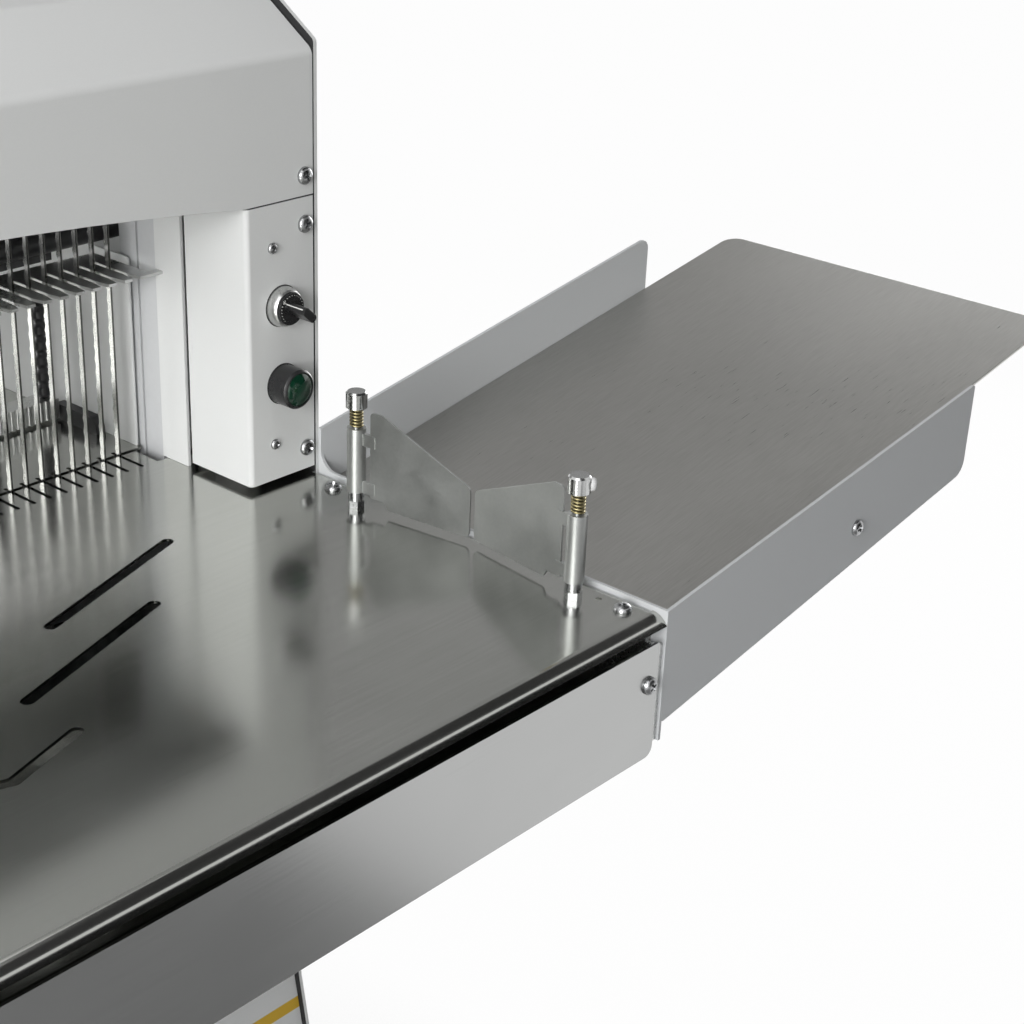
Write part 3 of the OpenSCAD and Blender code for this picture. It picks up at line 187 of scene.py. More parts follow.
@dataclass(frozen=True)
class Finish:
    """A surface finish that makes its own material from clouds, grain and relief."""

    name: str
    tone: Colour
    shade: Colour
    roughness: tuple[float, float]
    metallic: float = 0.0
    cloud: float = 5.0
    grain: Triple = (900.0, 900.0, 900.0)
    grain_weight: float = 0.25
    relief: float = 0.04
    coat: float = 0.0
    specular: float = 0.5

    def material(self) -> bpy.types.Material:
        """The finish's material, made at its first use.

        Returns:
            A procedural material on object coordinates.
        """
        found = bpy.data.materials.get(self.name)
        if found is not None:
            return found
        made = bpy.data.materials.new(self.name)
        made.use_nodes = True
        made.node_tree.nodes.clear()
        graph = Graph(made.node_tree)
        coords = graph.node("ShaderNodeTexCoord").outputs["Object"]
        clouds = graph.noise(coords, self.cloud, 4.0)
        grain = graph.noise(graph.stretched(coords, self.grain), 1.0, 2.0)
        blend = graph.node("ShaderNodeMix", {"Factor": self.grain_weight, 2: clouds, 3: grain}).outputs[0]
        bump = graph.node("ShaderNodeBump", {"Height": grain, "Strength": self.relief, "Distance": GRAIN_DEPTH})
        shader = graph.node("ShaderNodeBsdfPrincipled", {
            "Base Color": self.colour(graph, coords, blend),
            "Roughness": graph.ramp(blend, *NOISE_SPAN, self.roughness),
            "Normal": bump.outputs["Normal"]})
        shader.inputs["Metallic"].default_value = self.metallic
        shader.inputs["Coat Weight"].default_value = self.coat
        shader.inputs["Specular IOR Level"].default_value = self.specular
        graph.node("ShaderNodeOutputMaterial", {"Surface": shader.outputs["BSDF"]})
        return made

    def colour(self, graph: Graph, coords: bpy.types.NodeSocket, blend: bpy.types.NodeSocket) -> bpy.types.NodeSocket:
        """Colour of the surface.

        Args:
            graph: graph of the material.
            coords: object coordinates.
            blend: clouds and grain, between 0 and 1.

        Returns:
            A colour output.
        """
        return graph.mix(graph.ramp(blend, *NOISE_SPAN, (0.0, 1.0)), self.shade, self.tone)


@dataclass(frozen=True)
class StripedCoat(Finish):
    """Powder coat with one plain stripe between two heights: the base's amber stripe, and painted shade along the
    columns' tops.
    """

    stripe: Colour = (0.72, 0.46, 0.05)
    stripe_z: tuple[float, float] = (0.434, 0.444)
    soft: float = 0.0003

    def colour(self, graph: Graph, coords: bpy.types.NodeSocket, blend: bpy.types.NodeSocket) -> bpy.types.NodeSocket:
        """Colour of the coat, with its stripe.

        Args:
            graph: graph of the material.
            coords: object coordinates.
            blend: clouds and grain, between 0 and 1.

        Returns:
            A colour output.
        """
        height = graph.axis(coords, "Z")
        inside = graph.math("MULTIPLY", graph.above(height, self.stripe_z[0], self.soft),
                            graph.below(height, self.stripe_z[1], self.soft))
        return graph.mix(inside, super().colour(graph, coords, blend), self.stripe)


@dataclass(frozen=True)
class GroundEdge(Finish):
    """Blade steel whose cutting edge is ground brighter, with painted shade in a dark band along its back."""

    edge: Colour = (0.9, 0.9, 0.88)
    edge_y: tuple[float, float] = (0.0338, 0.0346)
    # Painted shade: a dark band along the blade's back edge stands for its shadowed edge face.
    scale: Colour = (0.10, 0.10, 0.095)
    painted_spine_shade_y: tuple[float, float] = (0.0306, 0.0309)

    def colour(self, graph: Graph, coords: bpy.types.NodeSocket, blend: bpy.types.NodeSocket) -> bpy.types.NodeSocket:
        """Colour of the strip, brighter along the cutting edge and with painted shade along the back.

        Args:
            graph: graph of the material.
            coords: object coordinates.
            blend: clouds and grain, between 0 and 1.

        Returns:
            A colour output.
        """
        across = graph.axis(coords, "Y")
        near = graph.ramp(across, self.edge_y[0], self.edge_y[1], (0.0, 1.0))
        ground = graph.mix(near, super().colour(graph, coords, blend), self.edge)
        # Painted shade along the back, over the ground colour.
        back = graph.ramp(across, self.painted_spine_shade_y[0], self.painted_spine_shade_y[1], (1.0, 0.0))
        return graph.mix(back, ground, self.scale)


@dataclass(frozen=True)
class SeamCoat(Finish):
    """Powder coat with painted shade in the seams beside the side plates: a dark band stands for the shadow in the
    gaps.
    """

    # Dark colour of the painted seam shade, which stands for the shadow in the gaps.
    painted_seam_shade: Colour = PAINTED_SEAM_SHADE
    seam_x: tuple[float, float] = (0.0, 0.3879)
    front_y: float = 0.060
    hood_y: float = 0.2625
    hood_z: float = 1.115
    soft: float = 0.00005

    def colour(self, graph: Graph, coords: bpy.types.NodeSocket, blend: bpy.types.NodeSocket) -> bpy.types.NodeSocket:
        """Colour of the coat, with painted shade between two distances from the centre line, in front and beside the
        hood.

        Args:
            graph: graph of the material.
            coords: object coordinates.
            blend: clouds and grain, between 0 and 1.

        Returns:
            A colour output.
        """
        origin = FRAME.at(0.0, 0.0, 0.0)
        reach = graph.math("ABSOLUTE", graph.math("SUBTRACT", graph.axis(coords, "X"), origin.x))
        depth = graph.math("SUBTRACT", graph.axis(coords, "Y"), origin.y)
        band = graph.math("MULTIPLY", graph.above(reach, self.seam_x[0], self.soft),
                          graph.below(reach, self.seam_x[1], self.soft))
        front = graph.below(depth, self.front_y, self.soft)
        hood = graph.math("MULTIPLY", graph.below(depth, self.hood_y, self.soft),
                          graph.above(graph.axis(coords, "Z"), self.hood_z, self.soft))
        # Painted seam shade fills the band, in front and beside the hood.
        inside = graph.math("MULTIPLY", band, graph.math("MAXIMUM", front, hood))
        return graph.mix(inside, super().colour(graph, coords, blend), self.painted_seam_shade)


class Coat(Enum):
    """The machine's finishes."""

    HOUSING = Finish("white_powder_coat", WHITE, WHITE_SHADE, POWDER_ROUGHNESS, cloud=3.0, relief=0.03,
                     specular=POWDER_SHEEN)
    # The hood's outermost strip at each side is painted dark as the shadow of its seam.
    HOOD = SeamCoat("hood_coat_painted_seam_shade", WHITE, WHITE_SHADE, POWDER_ROUGHNESS, cloud=3.0, relief=0.03,
                    specular=POWDER_SHEEN, seam_x=(0.38695, 0.38815))
    # The side plates' flanges and inner faces are painted dark as shade, in front and beside the hood.
    SIDE = SeamCoat("side_coat_painted_seam_shade", WHITE, WHITE_SHADE, POWDER_ROUGHNESS, cloud=3.0, relief=0.03,
                    specular=POWDER_SHEEN, seam_x=(0.2, 0.38806))
    # The columns' stripe is painted shade along their top chamfer, under the seam to the hood.
    COLUMN = StripedCoat("column_coat_painted_seam_shade", WHITE, WHITE_SHADE, POWDER_ROUGHNESS, cloud=3.0, relief=0.03,
                         specular=POWDER_SHEEN, stripe=PAINTED_SEAM_SHADE, stripe_z=(1.1179, 1.1300))
    BASE = StripedCoat("striped_powder_coat", (0.80, 0.81, 0.805), (0.76, 0.77, 0.765), POWDER_ROUGHNESS, cloud=3.0,
                       relief=0.03, specular=POWDER_SHEEN)
    TRAY = Finish("tray_powder_coat", (0.66, 0.675, 0.685), (0.62, 0.635, 0.645), (0.55, 0.65), cloud=3.0,
                  relief=0.03, specular=POWDER_SHEEN)
    TABLE = Finish("rolled_stainless", (0.55, 0.555, 0.53), (0.46, 0.465, 0.44), (0.13, 0.20), metallic=1.0,
                   cloud=7.0, grain=(14.0, 620.0, 620.0), grain_weight=0.3, relief=0.006)
    APRON = Finish("satin_stainless", (0.50, 0.505, 0.50), (0.43, 0.435, 0.43), (0.19, 0.27), metallic=1.0,
                   cloud=4.0, grain=(9.0, 900.0, 900.0), grain_weight=0.2, relief=0.006)
    PLATE = Finish("lengthwise_brushed_steel", (0.52, 0.515, 0.495), (0.42, 0.415, 0.395), (0.27, 0.38), metallic=1.0,
                   cloud=4.0, grain=(7.0, 1100.0, 300.0), grain_weight=0.6, relief=0.05)
    FLAP = Finish("cold_rolled_steel", (0.49, 0.50, 0.49), (0.39, 0.40, 0.39), (0.38, 0.52), metallic=1.0,
                  cloud=26.0, grain=(420.0, 420.0, 420.0), relief=0.08)
    SATIN = Finish("turned_steel", (0.66, 0.665, 0.655), (0.58, 0.585, 0.575), (0.24, 0.34), metallic=1.0,
                   cloud=20.0, grain=(500.0, 500.0, 500.0), relief=0.02)
    BLADE = GroundEdge("blade_strip_steel", (0.88, 0.885, 0.86), (0.80, 0.805, 0.78), (0.18, 0.30), metallic=1.0,
                       cloud=30.0, grain=(600.0, 600.0, 20.0), grain_weight=0.4, relief=0.02)
    BRIGHT = Finish("bright_plating", (0.74, 0.745, 0.74), (0.66, 0.665, 0.66), (0.10, 0.18), metallic=1.0,
                    cloud=40.0, grain=(300.0, 300.0, 300.0), relief=0.01)
    ZINC = Finish("zinc_plating", (0.44, 0.445, 0.45), (0.34, 0.345, 0.35), (0.22, 0.32), metallic=1.0,
                  cloud=90.0, grain=(400.0, 400.0, 400.0), relief=0.01)
    CHROME = Finish("turned_chrome", (0.60, 0.605, 0.60), (0.50, 0.505, 0.50), (0.10, 0.17), metallic=1.0,
                    cloud=40.0, grain=(300.0, 300.0, 300.0), relief=0.01)
    ENAMEL = Finish("grey_machine_enamel", (0.34, 0.355, 0.37), (0.28, 0.295, 0.31), (0.40, 0.55), cloud=9.0,
                    grain=(350.0, 350.0, 350.0), relief=0.10)
    MOTOR = Finish("blue_grey_enamel", (0.30, 0.36, 0.42), (0.25, 0.30, 0.35), (0.36, 0.50), cloud=14.0,
                   grain=(300.0, 300.0, 300.0), relief=0.14)
    CASTING = Finish("machined_casting", (0.25, 0.255, 0.26), (0.18, 0.185, 0.19), (0.48, 0.64), metallic=0.6,
                     cloud=22.0, grain=(260.0, 260.0, 260.0), relief=0.22)
    PALE = Finish("pale_grey_enamel", (0.70, 0.71, 0.72), (0.64, 0.65, 0.66), (0.30, 0.42), cloud=9.0,
                  grain=(350.0, 350.0, 350.0), relief=0.04)
    BRONZE = Finish("sintered_bronze", (0.50, 0.36, 0.17), (0.40, 0.28, 0.13), (0.36, 0.48), metallic=1.0,
                    cloud=60.0, grain=(900.0, 900.0, 900.0), relief=0.10)
    SPRING = Finish("passivated_wire", (0.38, 0.33, 0.18), (0.29, 0.25, 0.13), (0.30, 0.44), metallic=1.0,
                    cloud=120.0, grain=(700.0, 700.0, 700.0), relief=0.03)
    BLACK = Finish("satin_black_plastic", (0.030, 0.030, 0.032), (0.020, 0.020, 0.021), (0.34, 0.46), cloud=40.0,
                   relief=0.10)
    GLOSS = Finish("moulded_black_plastic", (0.022, 0.022, 0.023), (0.014, 0.014, 0.015), (0.24, 0.34), cloud=60.0,
                   relief=0.05)
    LENS = Finish("green_lens_plastic", (0.006, 0.055, 0.028), (0.002, 0.020, 0.010), (0.08, 0.14), cloud=160.0,
                  grain=(400.0, 400.0, 400.0), relief=0.04, coat=1.0)
    RUBBER = Finish("moulded_rubber", (0.030, 0.030, 0.030), (0.018, 0.018, 0.018), (0.62, 0.78), cloud=30.0,
                    relief=0.20)
    MARK = Finish("white_marking_ink", (0.80, 0.80, 0.78), (0.68, 0.68, 0.66), (0.45, 0.60), cloud=300.0, relief=0.02)


@dataclass(frozen=True)
class MachineFrame:
    """Turns sizes on the machine's own drawing, in millimetres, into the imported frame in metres."""

    column_inner: float = 328.0
    table_top: float = 920.0

    def at(self, x: float, y: float, z: float) -> Vector:
        """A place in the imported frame.

        Args:
            x: millimetres right of the machine's centre line.
            y: millimetres behind the panel's front face.
            z: millimetres above the floor.

        Returns:
            The place in metres.
        """
        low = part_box("right_column")[0]
        return Vector((low[0] + (x - self.column_inner) * MM, low[1] + y * MM, z * MM))


FRAME = MachineFrame()


def new_object(name: str, mesh: bpy.types.Mesh) -> bpy.types.Object:
    """Links a mesh into the scene as an object at the origin."""
    made = bpy.data.objects.new(name, mesh)
    bpy.context.scene.collection.objects.link(made)
    return made


def flat_sheet(name: str, wide: float, high: float) -> bpy.types.Object:
    """A rectangle of one face round the origin.

    Args:
        name: name of the object.
        wide: width along X.
        high: height along Y.

    Returns:
        The new object.
    """
    x, y = wide / 2, high / 2
    mesh = bpy.data.meshes.new(name)
    mesh.from_pydata([(-x, -y, 0), (x, -y, 0), (x, y, 0), (-x, y, 0)], [], [(0, 1, 2, 3)])
    return new_object(name, mesh)


def plain_copy(carrier: bpy.types.Object, name: str) -> bpy.types.Object:
    """Turns an object with modifiers into a plain mesh and removes the carrier.

    Args:
        carrier: object whose evaluated shape is kept.
        name: name of the new object.

    Returns:
        An object at the origin with no modifiers.
    """
    bpy.context.view_layer.update()
    graph = bpy.context.evaluated_depsgraph_get()
    mesh = bpy.data.meshes.new_from_object(carrier.evaluated_get(graph), depsgraph=graph)
    mesh.name = name
    bpy.data.objects.remove(carrier)
    return new_object(name, mesh)


def smooth_by_angle(mesh: bpy.types.Mesh, degrees: float) -> None:
    """Shades a mesh smooth, except over edges sharper than an angle."""
    work = bmesh.new()
    work.from_mesh(mesh)
    for face in work.faces:
        face.smooth = True
    for edge in work.edges:
        edge.smooth = len(edge.link_faces) == 2 and edge.calc_face_angle(0.0) < math.radians(degrees)
    work.to_mesh(mesh)
    work.free()


def softened(node: str, edge: float, segments: int = 2) -> bpy.types.Object:
    """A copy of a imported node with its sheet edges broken, standing for that node.

    Args:
        node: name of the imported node.
        edge: width of the broken edge in metres.
        segments: faces across the edge.

    Returns:
        The piece, which rides on the node's body.
    """
    work = bmesh.new()
    work.from_mesh(frame["nodes"][node].data)
    bmesh.ops.remove_doubles(work, verts=work.verts, dist=WELD_GAP)
    bmesh.ops.dissolve_limit(work, angle_limit=math.radians(FLAT_DEG), verts=work.verts, edges=work.edges)
    for face in work.faces:
        face.smooth = True
    for line in work.edges:
        line.smooth = True
    mesh = bpy.data.meshes.new(f"{node}_edges")
    work.to_mesh(mesh)
    work.free()
    carrier = new_object(f"{node}_carrier", mesh)
    bevel = carrier.modifiers.new("broken_edge", "BEVEL")
    bevel.width = edge
    bevel.segments = segments
    bevel.limit_method = "ANGLE"
    bevel.angle_limit = math.radians(FOLD_DEG)
    bevel.use_clamp_overlap = True
    even = carrier.modifiers.new("flat_faces", "WEIGHTED_NORMAL")
    even.mode = "FACE_AREA"
    even.weight = 100
    even.keep_sharp = False
    piece = plain_copy(carrier, f"{node}_dressed")
    body = next(b for b, members in frame["record"]["behaviour"]["bodies"].items() if node in members)
    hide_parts(node)
    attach(piece, body)
    return piece


def paint(target: bpy.types.Object, coat: Coat) -> None:
    """Gives an object one finish."""
    target.data.materials.clear()
    target.data.materials.append(coat.value.material())


def paint_node(node: str, coat: Coat) -> None:
    """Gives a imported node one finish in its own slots."""
    target = frame["nodes"][node]
    if not target.material_slots:
        target.data.materials.append(coat.value.material())
    for slot in target.material_slots:
        slot.material = coat.value.material()


class SubAssembly:
    """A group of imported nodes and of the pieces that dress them."""

    def build(self) -> list[bpy.types.Object]:
        """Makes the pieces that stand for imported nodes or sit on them."""
        return []

    def dress(self) -> None:
        """Gives the group's nodes and pieces their finishes."""

    def report(self, pieces: Iterable[bpy.types.Object]) -> None:
        """Logs each piece with its face count."""
        for piece in pieces:
            LOG.info("%s: %s, %d faces", type(self).__name__, piece.name, len(piece.data.polygons))


@dataclass
class SheetGroup(SubAssembly):
    """Sheet pieces whose edges are broken, with one finish each."""

    sheets: dict[str, Coat]
    edge: float = 0.0005
    pieces: dict[str, bpy.types.Object] = field(default_factory=dict)

    def build(self) -> list[bpy.types.Object]:
        """Makes a softened copy of every sheet.

        Returns:
            The softened pieces.
        """
        self.pieces = {node: softened(node, self.edge) for node in self.sheets}
        return list(self.pieces.values())

    def dress(self) -> None:
        """Paints every sheet."""
        for node, coat in self.sheets.items():
            paint(self.pieces[node], coat)


@dataclass
class SolidGroup(SubAssembly):
    """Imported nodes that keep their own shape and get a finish."""

    nodes: dict[str, Coat]

    def dress(self) -> None:
        """Paints every node."""
        for node, coat in self.nodes.items():
            paint_node(node, coat)


class ShapeTree:
    """A Geometry Nodes tree with named inputs that ends in realised instances with a material."""

    def __init__(self, name: str) -> None:
        """Starts an empty tree with a geometry input and output."""
        self.tree = bpy.data.node_groups.new(name, "GeometryNodeTree")
        self.tree.interface.new_socket("Geometry", in_out="INPUT", socket_type="NodeSocketGeometry")
        self.tree.interface.new_socket("Geometry", in_out="OUTPUT", socket_type="NodeSocketGeometry")
        self.graph = Graph(self.tree)
        self.values: dict[str, object] = {}

    def take(self, name: str, kind: str, value: object) -> None:
        """Declares a named input and the value that the modifier gets.

        Args:
            name: name of the input.
            kind: Blender's identifier of the socket type.
            value: value of the input.
        """
        socket = self.tree.interface.new_socket(name, in_out="INPUT", socket_type=kind)
        self.values[socket.identifier] = value

    def source(self) -> bpy.types.Node:
        """The group input node."""
        found = [n for n in self.tree.nodes if n.type == "GROUP_INPUT"]
        return found[0] if found else self.graph.node("NodeGroupInput")

    def close(self, geometry: bpy.types.NodeSocket) -> None:
        """Ends the tree in realised instances, a material and the output."""
        real = self.graph.node("GeometryNodeRealizeInstances", {"Geometry": geometry})
        coated = self.graph.node("GeometryNodeSetMaterial", {"Geometry": real.outputs["Geometry"],
                                                             "Material": self.source().outputs["Finish"]})
        self.graph.node("NodeGroupOutput", {"Geometry": coated.outputs["Geometry"]})

    def run(self, name: str, points: Sequence[Vector]) -> bpy.types.Object:
        """Runs the tree on a set of points.

        Args:
            name: name of the new piece.
            points: vertices of the carrier mesh.

        Returns:
            A plain mesh object.
        """
        mesh = bpy.data.meshes.new(f"{name}_points")
        mesh.from_pydata([tuple(p) for p in points], [], [])
        carrier = new_object(f"{name}_carrier", mesh)
        modifier = carrier.modifiers.new("shape", "NODES")
        modifier.node_group = self.tree
        for identifier, value in self.values.items():
            modifier[identifier] = value
        return plain_copy(carrier, name)


class Facing(Enum):
    """The way that a screw's head looks, as Euler angles."""

    FRONT = (math.pi / 2, 0.0, 0.0)
    TOP = (0.0, 0.0, 0.0)
    RIGHT_REAR = (0.0, math.pi / 2, math.radians(54.5))
    RIGHT_FRONT = (0.0, math.pi / 2, math.radians(-54.5))


@dataclass(frozen=True)
class PanHead:
    """A pan-head screw with a cross recess, in millimetres."""

    name: str
    head_d: float
    head_h: float
    shank_d: float
    shank_l: float
    segments: int = 36
    crown: tuple[tuple[float, float], ...] = ((0.48, 0.0), (0.50, 0.08), (0.50, 0.32), (0.475, 0.52), (0.42, 0.74),
                                              (0.33, 0.90), (0.20, 0.98), (0.0, 1.0))
    recess: tuple[Triple, ...] = ((0.16, 0.05, 0.30), (0.34, 0.085, 1.4))

    def template(self) -> bpy.types.Object:
        """One screw along Z, with its head's seat on z = 0.

        Returns:
            A template object.
        """
        d, h, s, l = (v * MM for v in (self.head_d, self.head_h, self.shank_d, self.shank_l))
        profile = [(0.0, -l), (s / 2, -l), (s / 2, 0.0)] + [(d * r, h * z) for r, z in self.crown]
        work = bmesh.new()
        line = [work.verts.new((r, 0.0, z)) for r, z in profile]
        edges = [work.edges.new(pair) for pair in zip(line, line[1:])]
        bmesh.ops.spin(work, geom=line + edges, cent=(0, 0, 0), axis=(0, 0, 1), angle=2 * math.pi,
                       steps=self.segments)
        bmesh.ops.remove_doubles(work, verts=work.verts, dist=1e-6)
        bmesh.ops.recalc_face_normals(work, faces=work.faces)
        mesh = bpy.data.meshes.new(f"{self.name}_head")
        work.to_mesh(mesh)
        work.free()
        carrier = new_object(f"{self.name}_blank", mesh)
        cutter = self.cross(d, h)
        cut = carrier.modifiers.new("recess", "BOOLEAN")
        cut.operation = "DIFFERENCE"
        cut.object = cutter
        cut.solver = "EXACT"
        made = plain_copy(carrier, f"{self.name}_template")
        bpy.data.objects.remove(cutter)
        smooth_by_angle(made.data, CREASE_DEG)
        return made

    def cross(self, d: float, h: float) -> bpy.types.Object:
        """The tapered cross that is cut into a head.

        Args:
            d: diameter of the head.
            h: height of the head.

        Returns:
            A closed cutter object.
        """
        rings = []
        work = bmesh.new()
        for reach, width, z in self.recess:
            a, b = d * reach, d * width
            quarter = [(a, -b), (a, b), (b, b)]
            turns = [Matrix.Rotation(k * math.pi / 2, 3, "Z") for k in range(4)]
            rings.append([work.verts.new(turn @ Vector((x, y, h * z))) for turn in turns for x, y in quarter])
        low, high = rings
        work.faces.new(reversed(low))
        work.faces.new(high)
        for k in range(len(low)):
            n = (k + 1) % len(low)
            work.faces.new((low[k], low[n], high[n], high[k]))
        mesh = bpy.data.meshes.new(f"{self.name}_cross")
        work.to_mesh(mesh)
        work.free()
        return new_object(f"{self.name}_cutter", mesh)


@dataclass
class ScrewRow:
    """Screws of one kind that look the same way."""

    kind: PanHead
    facing: Facing
    places: list[Vector]

    def build(self, name: str) -> bpy.types.Object:
        """Sets a screw at every place by a Geometry Nodes tree.

        Args:
            name: name of the new object.

        Returns:
            A plain mesh object.
        """
        template = self.kind.template()
        shape = ShapeTree(f"{name}_tree")
        shape.take("Screw", "NodeSocketObject", template)
        shape.take("Facing", "NodeSocketVector", self.facing.value)
        shape.take("Finish", "NodeSocketMaterial", Coat.ZINC.value.material())
        graph, given = shape.graph, shape.source()
        info = graph.node("GeometryNodeObjectInfo", {"Object": given.outputs["Screw"]})
        turn = graph.node("FunctionNodeEulerToRotation", {"Euler": given.outputs["Facing"]})
        spots = graph.node("GeometryNodeInstanceOnPoints", {
            "Points": given.outputs["Geometry"], "Instance": info.outputs["Geometry"],
            "Rotation": turn.outputs["Rotation"]})
        angle = graph.node("FunctionNodeRandomValue", {"Seed": 7}, data_type="FLOAT")
        angle.inputs[3].default_value = math.pi / 2
        spin = graph.node("ShaderNodeCombineXYZ", {"Z": angle.outputs[1]})
        free = graph.node("FunctionNodeEulerToRotation", {"Euler": spin.outputs["Vector"]})
        turned = graph.node("GeometryNodeRotateInstances", {"Instances": spots.outputs["Instances"],
                                                            "Rotation": free.outputs["Rotation"]})
        turned.inputs["Local Space"].default_value = True
        shape.close(turned.outputs["Instances"])
        made = shape.run(name, self.places)
        bpy.data.objects.remove(template)
        return made


@dataclass
class ScrewSet(SubAssembly):
    """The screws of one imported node, joined into one piece."""

    node: str
    rows: list[ScrewRow]

    def build(self) -> list[bpy.types.Object]:
        """Makes every row and joins them.

        Returns:
            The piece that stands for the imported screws.
        """
        parts = [row.build(f"{self.node}_row_{k}") for k, row in enumerate(self.rows)]
        piece = join(parts, f"{self.node}_dressed")
        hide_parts(self.node)
        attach(piece, "machine")
        return [piece]


def join(parts: Sequence[bpy.types.Object], name: str) -> bpy.types.Object:
    """Joins plain mesh objects at the origin into one.

    Args:
        parts: objects to join; they are removed.
        name: name of the joined object.

    Returns:
        The joined object, with the first part's materials.
    """
    work = bmesh.new()
    for part in parts:
        work.from_mesh(part.data)
    mesh = bpy.data.meshes.new(name)
    work.to_mesh(mesh)
    work.free()
    for material in parts[0].data.materials:
        mesh.materials.append(material)
    for part in parts:
        bpy.data.objects.remove(part)
    return new_object(name, mesh)


@dataclass
class FlapSpring(SubAssembly):
    """A wound wire spring on a flap post, made by a Geometry Nodes tree."""

    node: str
    post: tuple[float, float]
    wire_d: float = 1.5
    mean_r: float = 4.0
    turns: float = 5.5
    low: float = 978.35
    high: float = 990.75

    def build(self) -> list[bpy.types.Object]:
        """Winds the spring along its post.

        Returns:
            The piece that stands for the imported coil.
        """
        shape = ShapeTree(f"{self.node}_winding")
        shape.take("Turns", "NodeSocketFloat", self.turns)
        shape.take("Mean Radius", "NodeSocketFloat", self.mean_r * MM)
        shape.take("Length", "NodeSocketFloat", (self.high - self.low) * MM)
        shape.take("Wire Radius", "NodeSocketFloat", self.wire_d / 2 * MM)
        shape.take("Place", "NodeSocketVector", tuple(FRAME.at(*self.post, self.low)))
        shape.take("Finish", "NodeSocketMaterial", Coat.SPRING.value.material())
        graph, given = shape.graph, shape.source()
        helix = graph.node("GeometryNodeCurveSpiral", {
            "Resolution": 32, "Rotations": given.outputs["Turns"], "Start Radius": given.outputs["Mean Radius"],
            "End Radius": given.outputs["Mean Radius"], "Height": given.outputs["Length"]})
        section = graph.node("GeometryNodeCurvePrimitiveCircle", {"Resolution": 12,
                                                                  "Radius": given.outputs["Wire Radius"]})
        tube = graph.node("GeometryNodeCurveToMesh", {"Curve": helix.outputs["Curve"],
                                                      "Profile Curve": section.outputs["Curve"], "Fill Caps": True})
        smooth = graph.node("GeometryNodeSetShadeSmooth", {"Geometry": tube.outputs["Mesh"]})
        placed = graph.node("GeometryNodeTransform", {"Geometry": smooth.outputs["Geometry"],
                                                      "Translation": given.outputs["Place"]})
        shape.close(placed.outputs["Geometry"])
        piece = shape.run(f"{self.node}_dressed", [Vector()])
        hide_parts(self.node)
        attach(piece, "machine")
        return [piece]


@dataclass
class DialMarks(SubAssembly):
    """White marks round the speed knob's dial, and the line on its grip."""

    centre: tuple[float, float] = (BEZEL_X, KNOB_Z)
    dial_y: float = -9.8
    start_deg: float = -45.0
    sweep_deg: float = 270.0
    line_share: float = 0.88
    line_w: float = 0.8
    grip_l: float = 17.5
    grip_reach: float = 6.5
    pointer_deg: float = 137.0
    radius: float = 9.4
    count: int = 21
    mark: Triple = (0.5, 1.6, 0.12)

    def build(self) -> list[bpy.types.Object]:
        """Sets the marks round the dial and the pointer line on the grip.

        Returns:
            The marks and the line, which turn with the knob.
        """
        shape = ShapeTree("dial_marks_tree")
        shape.take("Count", "NodeSocketInt", self.count)
        shape.take("Radius", "NodeSocketFloat", self.radius * MM)
        shape.take("Mark", "NodeSocketVector", tuple(v * MM for v in self.mark))
        shape.take("Place", "NodeSocketVector", tuple(FRAME.at(self.centre[0], self.dial_y, self.centre[1])))
        shape.take("Finish", "NodeSocketMaterial", Coat.MARK.value.material())
        graph, given = shape.graph, shape.source()
        arc = graph.node("GeometryNodeCurveArc", {"Resolution": given.outputs["Count"],
                                                  "Radius": given.outputs["Radius"],
                                                  "Start Angle": math.radians(self.start_deg),
                                                  "Sweep Angle": math.radians(self.sweep_deg)}, mode="RADIUS")
        block = graph.node("GeometryNodeMeshCube", {"Size": given.outputs["Mark"]})
        points = graph.node("GeometryNodeCurveToPoints", {"Curve": arc.outputs["Curve"]}, mode="EVALUATED")
        upright = graph.node("FunctionNodeRotateRotation", {"Rotation": points.outputs["Rotation"]},
                             rotation_space="LOCAL")
        upright.inputs[1].default_value = (0.0, math.pi / 2, 0.0)
        spots = graph.node("GeometryNodeInstanceOnPoints", {
            "Points": points.outputs["Points"], "Instance": block.outputs["Mesh"],
            "Rotation": upright.outputs["Rotation"]})
        placed = graph.node("GeometryNodeTransform", {"Geometry": spots.outputs["Instances"],
                                                      "Translation": given.outputs["Place"],
                                                      "Rotation": (math.pi / 2, 0.0, 0.0)})
        shape.close(placed.outputs["Geometry"])
        marks = shape.run("dial_marks", [Vector()])
        line = self.pointer()
        for piece in (marks, line):
            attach(piece, "knob")
        return [marks, line]

    def pointer(self) -> bpy.types.Object:
        """The white line over the dial and along the grip's end.

        Returns:
            Two thin bars with softened ends.
        """
        angle = math.radians(self.pointer_deg)
        turn = Matrix.Rotation(-angle, 4, "Y")
        rim = self.radius + self.mark[1] / 2
        length = self.grip_l * self.line_share
        bars = ((self.grip_reach, self.dial_y - length / 2, (0.16, length, self.line_w)),
                ((self.grip_reach + rim) / 2, self.dial_y, (rim - self.grip_reach, self.mark[2], self.line_w)))
        work = bmesh.new()
        for reach, y, size in bars:
            place = FRAME.at(self.centre[0] + reach * math.cos(angle), y, self.centre[1] + reach * math.sin(angle))
            scale = Matrix.Diagonal((*(v * MM for v in size), 1.0))
            made = bmesh.ops.create_cube(work, size=1.0, matrix=Matrix.Translation(place) @ turn @ scale)
            bmesh.ops.bevel(work, geom=list({e for v in made["verts"] for e in v.link_edges}), offset=0.04 * MM,
                            segments=1, affect="EDGES", profile=0.5)
        mesh = bpy.data.meshes.new("grip_line")
        work.to_mesh(mesh)
        work.free()
        mesh.materials.append(Coat.MARK.value.material())
        return new_object("grip_line", mesh)


